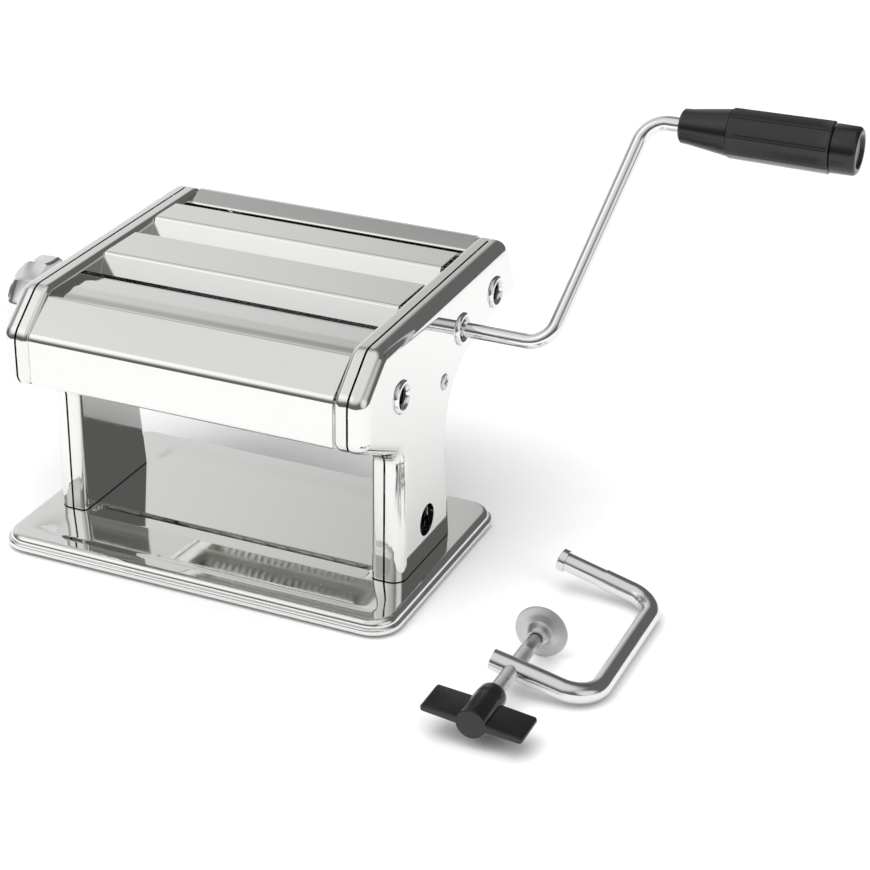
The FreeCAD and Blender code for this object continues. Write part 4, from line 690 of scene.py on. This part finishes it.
class PASTA_OT_wing_knob(bpy.types.Operator):
    """The black wing knob: a hub with two wings that grow out of it"""
    bl_idname = "pasta.wing_knob"
    bl_label = "Wing knob"

    def execute(self, context):
        hub, reach, width, taper = 6.7, 22.9, 17.8, 0.8
        mesh = bmesh.new()
        bmesh.ops.create_cone(mesh, cap_ends=True, cap_tris=False, segments=48, radius1=hub * MM,
                              radius2=hub * MM, depth=width * MM)
        for sign in (-1, 1):
            side = [f for f in mesh.faces if f.normal.x * sign > 0.974 and abs(f.normal.z) < 0.1]
            grown = bmesh.ops.extrude_face_region(mesh, geom=side)
            tips = [v for v in grown["geom"] if isinstance(v, bmesh.types.BMVert)]
            bmesh.ops.delete(mesh, geom=side, context="FACES")
            for vert in tips:
                vert.co.x = sign * reach * MM
                vert.co.y *= taper
        mesh.normal_update()
        bmesh.ops.remove_doubles(mesh, verts=mesh.verts, dist=0.001 * MM)
        bmesh.ops.dissolve_limit(mesh, angle_limit=math.radians(1), verts=mesh.verts, edges=mesh.edges)
        corners = [e for e in mesh.edges if all(abs(v.co.x) > (reach - 0.05) * MM
                                                and abs(v.co.z) > (width / 2 - 0.05) * MM for v in e.verts)]
        soften(mesh, corners, 2.4, 6)
        soften(mesh, sharp_edges(mesh, 50, lambda e: e.is_convex), 0.7, 4)
        neck = turned([(-7.9, 0), (-7.9, 6.68), (-10.4, 6.65), (-14.7, 6.3), (-16.1, 5.7), (-16.1, 3.5),
                       (-12.0, 3.45), (-12.0, 0)], 48, 0.3)
        face = turned([(8.9, 0), (8.65, 0.9), (8.8, 1.3), (8.87, 5.3), (8.7, 5.5), (7.9, 5.5), (7.9, 0)], 48)
        for part in (neck, face):
            bmesh.ops.rotate(part, verts=part.verts, cent=(0, 0, 0),
                             matrix=Matrix.Rotation(math.radians(270), 3, "Y"))
            join(mesh, part)
        lay = Matrix.Rotation(math.radians(5.4), 3, "Y") @ Matrix.Rotation(math.radians(90), 3, "X")
        move(mesh, (CLAMP_X, WING_Y, CLAMP_Z), lay)
        finish_piece("wing_body", "wing_knob", mesh, 32)
        return {"FINISHED"}


class PASTA_OT_stage(bpy.types.Operator):
    """Table top, soft light and the camera"""
    bl_idname = "pasta.stage"
    bl_label = "Stage"

    def execute(self, context):
        settings = context.scene.pasta_sizes
        mesh = bmesh.new()
        bmesh.ops.create_grid(mesh, x_segments=1, y_segments=1, size=1.6)
        bmesh.ops.translate(mesh, verts=mesh.verts, vec=(0, 0, -0.0002))
        data = bpy.data.meshes.new("table_top")
        mesh.to_mesh(data)
        mesh.free()
        floor = bpy.data.objects.new("table_top", data)
        context.scene.collection.objects.link(floor)
        material, tree, output = new_material("White table top")
        diffuse = add_node(tree, "ShaderNodeBsdfDiffuse", Color=list(settings.floor_tone) + [1.0])
        tree.links.new(diffuse.outputs["BSDF"], output.inputs["Surface"])
        data.materials.append(material)
        for name, spot, width, power in LAMPS:
            lamp = bpy.data.lights.new(name + "_lamp", "AREA")
            lamp.shape, lamp.size, lamp.size_y, lamp.energy = "RECTANGLE", width, width, power
            holder = bpy.data.objects.new(name + "_lamp", lamp)
            context.scene.collection.objects.link(holder)
            holder.location = spot
            aim = Vector((0.05, 0, 0.08)) - Vector(spot)
            holder.rotation_euler = aim.to_track_quat("-Z", "Y").to_euler()
            holder.visible_glossy = False
        self.light_room(context)
        self.aim_camera(context, settings.lens)
        context.scene.view_settings.view_transform = "Standard"
        return {"FINISHED"}

    def light_room(self, context):
        """A dim studio with soft white panels for the chrome to reflect, and a white backdrop behind."""
        world = bpy.data.worlds.new("Studio room")
        context.scene.world = world
        world.use_nodes = True
        tree = world.node_tree
        tree.nodes.clear()
        output = add_node(tree, "ShaderNodeOutputWorld")
        where = add_node(tree, "ShaderNodeTexCoord")
        light = add_node(tree, "ShaderNodeValue")
        light.outputs[0].default_value = ROOM_GREY
        total = light.outputs[0]
        for way, inner, outer, strength in PANELS:
            near = add_node(tree, "ShaderNodeVectorMath", [(where.outputs["Generated"], 0)],
                            operation="DOT_PRODUCT")
            near.inputs[1].default_value = Vector(way).normalized()
            fall = add_node(tree, "ShaderNodeMapRange", [(near.outputs["Value"], "Value")],
                            interpolation_type="SMOOTHSTEP")
            for socket, setting in (("From Min", math.cos(math.radians(outer))),
                                    ("From Max", math.cos(math.radians(inner))), ("To Max", strength)):
                fall.inputs[socket].default_value = setting
            add = add_node(tree, "ShaderNodeMath", [(total, 0), (fall.outputs["Result"], 1)], operation="ADD")
            total = add.outputs[0]
        room = add_node(tree, "ShaderNodeBackground", [(total, "Strength")])
        room.inputs["Color"].default_value = (1, 1, 1, 1)
        drop = add_node(tree, "ShaderNodeBackground", Strength=1.0)
        drop.inputs["Color"].default_value = (1, 1, 1, 1)
        path = add_node(tree, "ShaderNodeLightPath")
        mix = add_node(tree, "ShaderNodeMixShader", [(path.outputs["Is Camera Ray"], 0),
                                                     (room.outputs["Background"], 1),
                                                     (drop.outputs["Background"], 2)])
        tree.links.new(mix.outputs["Shader"], output.inputs["Surface"])

    def aim_camera(self, context, lens):
        """The camera of the photograph: to the right of the machine and above it."""
        azimuth, height, roll = (math.radians(a) for a in (VIEW_SIDE, VIEW_UP, VIEW_ROLL))
        back = Vector((math.sin(azimuth) * math.cos(height), -math.cos(azimuth) * math.cos(height),
                       math.sin(height)))
        right = Vector((math.cos(azimuth), math.sin(azimuth), 0))
        up = back.cross(right)
        across = right * math.cos(roll) + up * math.sin(roll)
        above = up * math.cos(roll) - right * math.sin(roll)
        data = bpy.data.cameras.new("photo_camera")
        data.lens, data.sensor_width = lens, 36.0
        data.clip_start, data.clip_end = 0.05, 50.0
        camera = bpy.data.objects.new("photo_camera", data)
        context.scene.collection.objects.link(camera)
        turn = Matrix((across, above, back)).transposed().to_4x4()
        camera.matrix_world = Matrix.Translation(Vector(VIEW_TARGET) + back * VIEW_DISTANCE) @ turn
        context.scene.camera = camera


class PASTA_PT_panel(bpy.types.Panel):
    """Every step in order"""
    bl_idname = "PASTA_PT_panel"
    bl_label = "Pasta machine"
    bl_space_type = "VIEW_3D"
    bl_region_type = "UI"
    bl_category = "Pasta machine"

    def draw(self, context):
        settings = context.scene.pasta_sizes
        for name in ("floor_tone", "lens"):
            self.layout.prop(settings, name)
        for step in STEPS:
            self.layout.operator(step.bl_idname)


STEPS = (PASTA_OT_finishes, PASTA_OT_rollers, PASTA_OT_gears, PASTA_OT_combs, PASTA_OT_fasteners,
         PASTA_OT_feet, PASTA_OT_adjuster, PASTA_OT_crank, PASTA_OT_clamp_bar, PASTA_OT_frames,
         PASTA_OT_sheets, PASTA_OT_tray, PASTA_OT_grip, PASTA_OT_knob, PASTA_OT_rings, PASTA_OT_end_screw,
         PASTA_OT_clamp_screw, PASTA_OT_clamp_pad, PASTA_OT_wing_knob, PASTA_OT_stage)
CLASSES = (PastaSizes,) + STEPS + (PASTA_PT_panel,)


def register():
    for item in CLASSES:
        bpy.utils.register_class(item)
    bpy.types.Scene.pasta_sizes = bpy.props.PointerProperty(type=PastaSizes)


def unregister():
    del bpy.types.Scene.pasta_sizes
    for item in reversed(CLASSES):
        bpy.utils.unregister_class(item)


def main():
    register()
    for step in STEPS:
        getattr(bpy.ops.pasta, step.bl_idname.split(".")[1])()


if __name__ == "__main__":
    main()
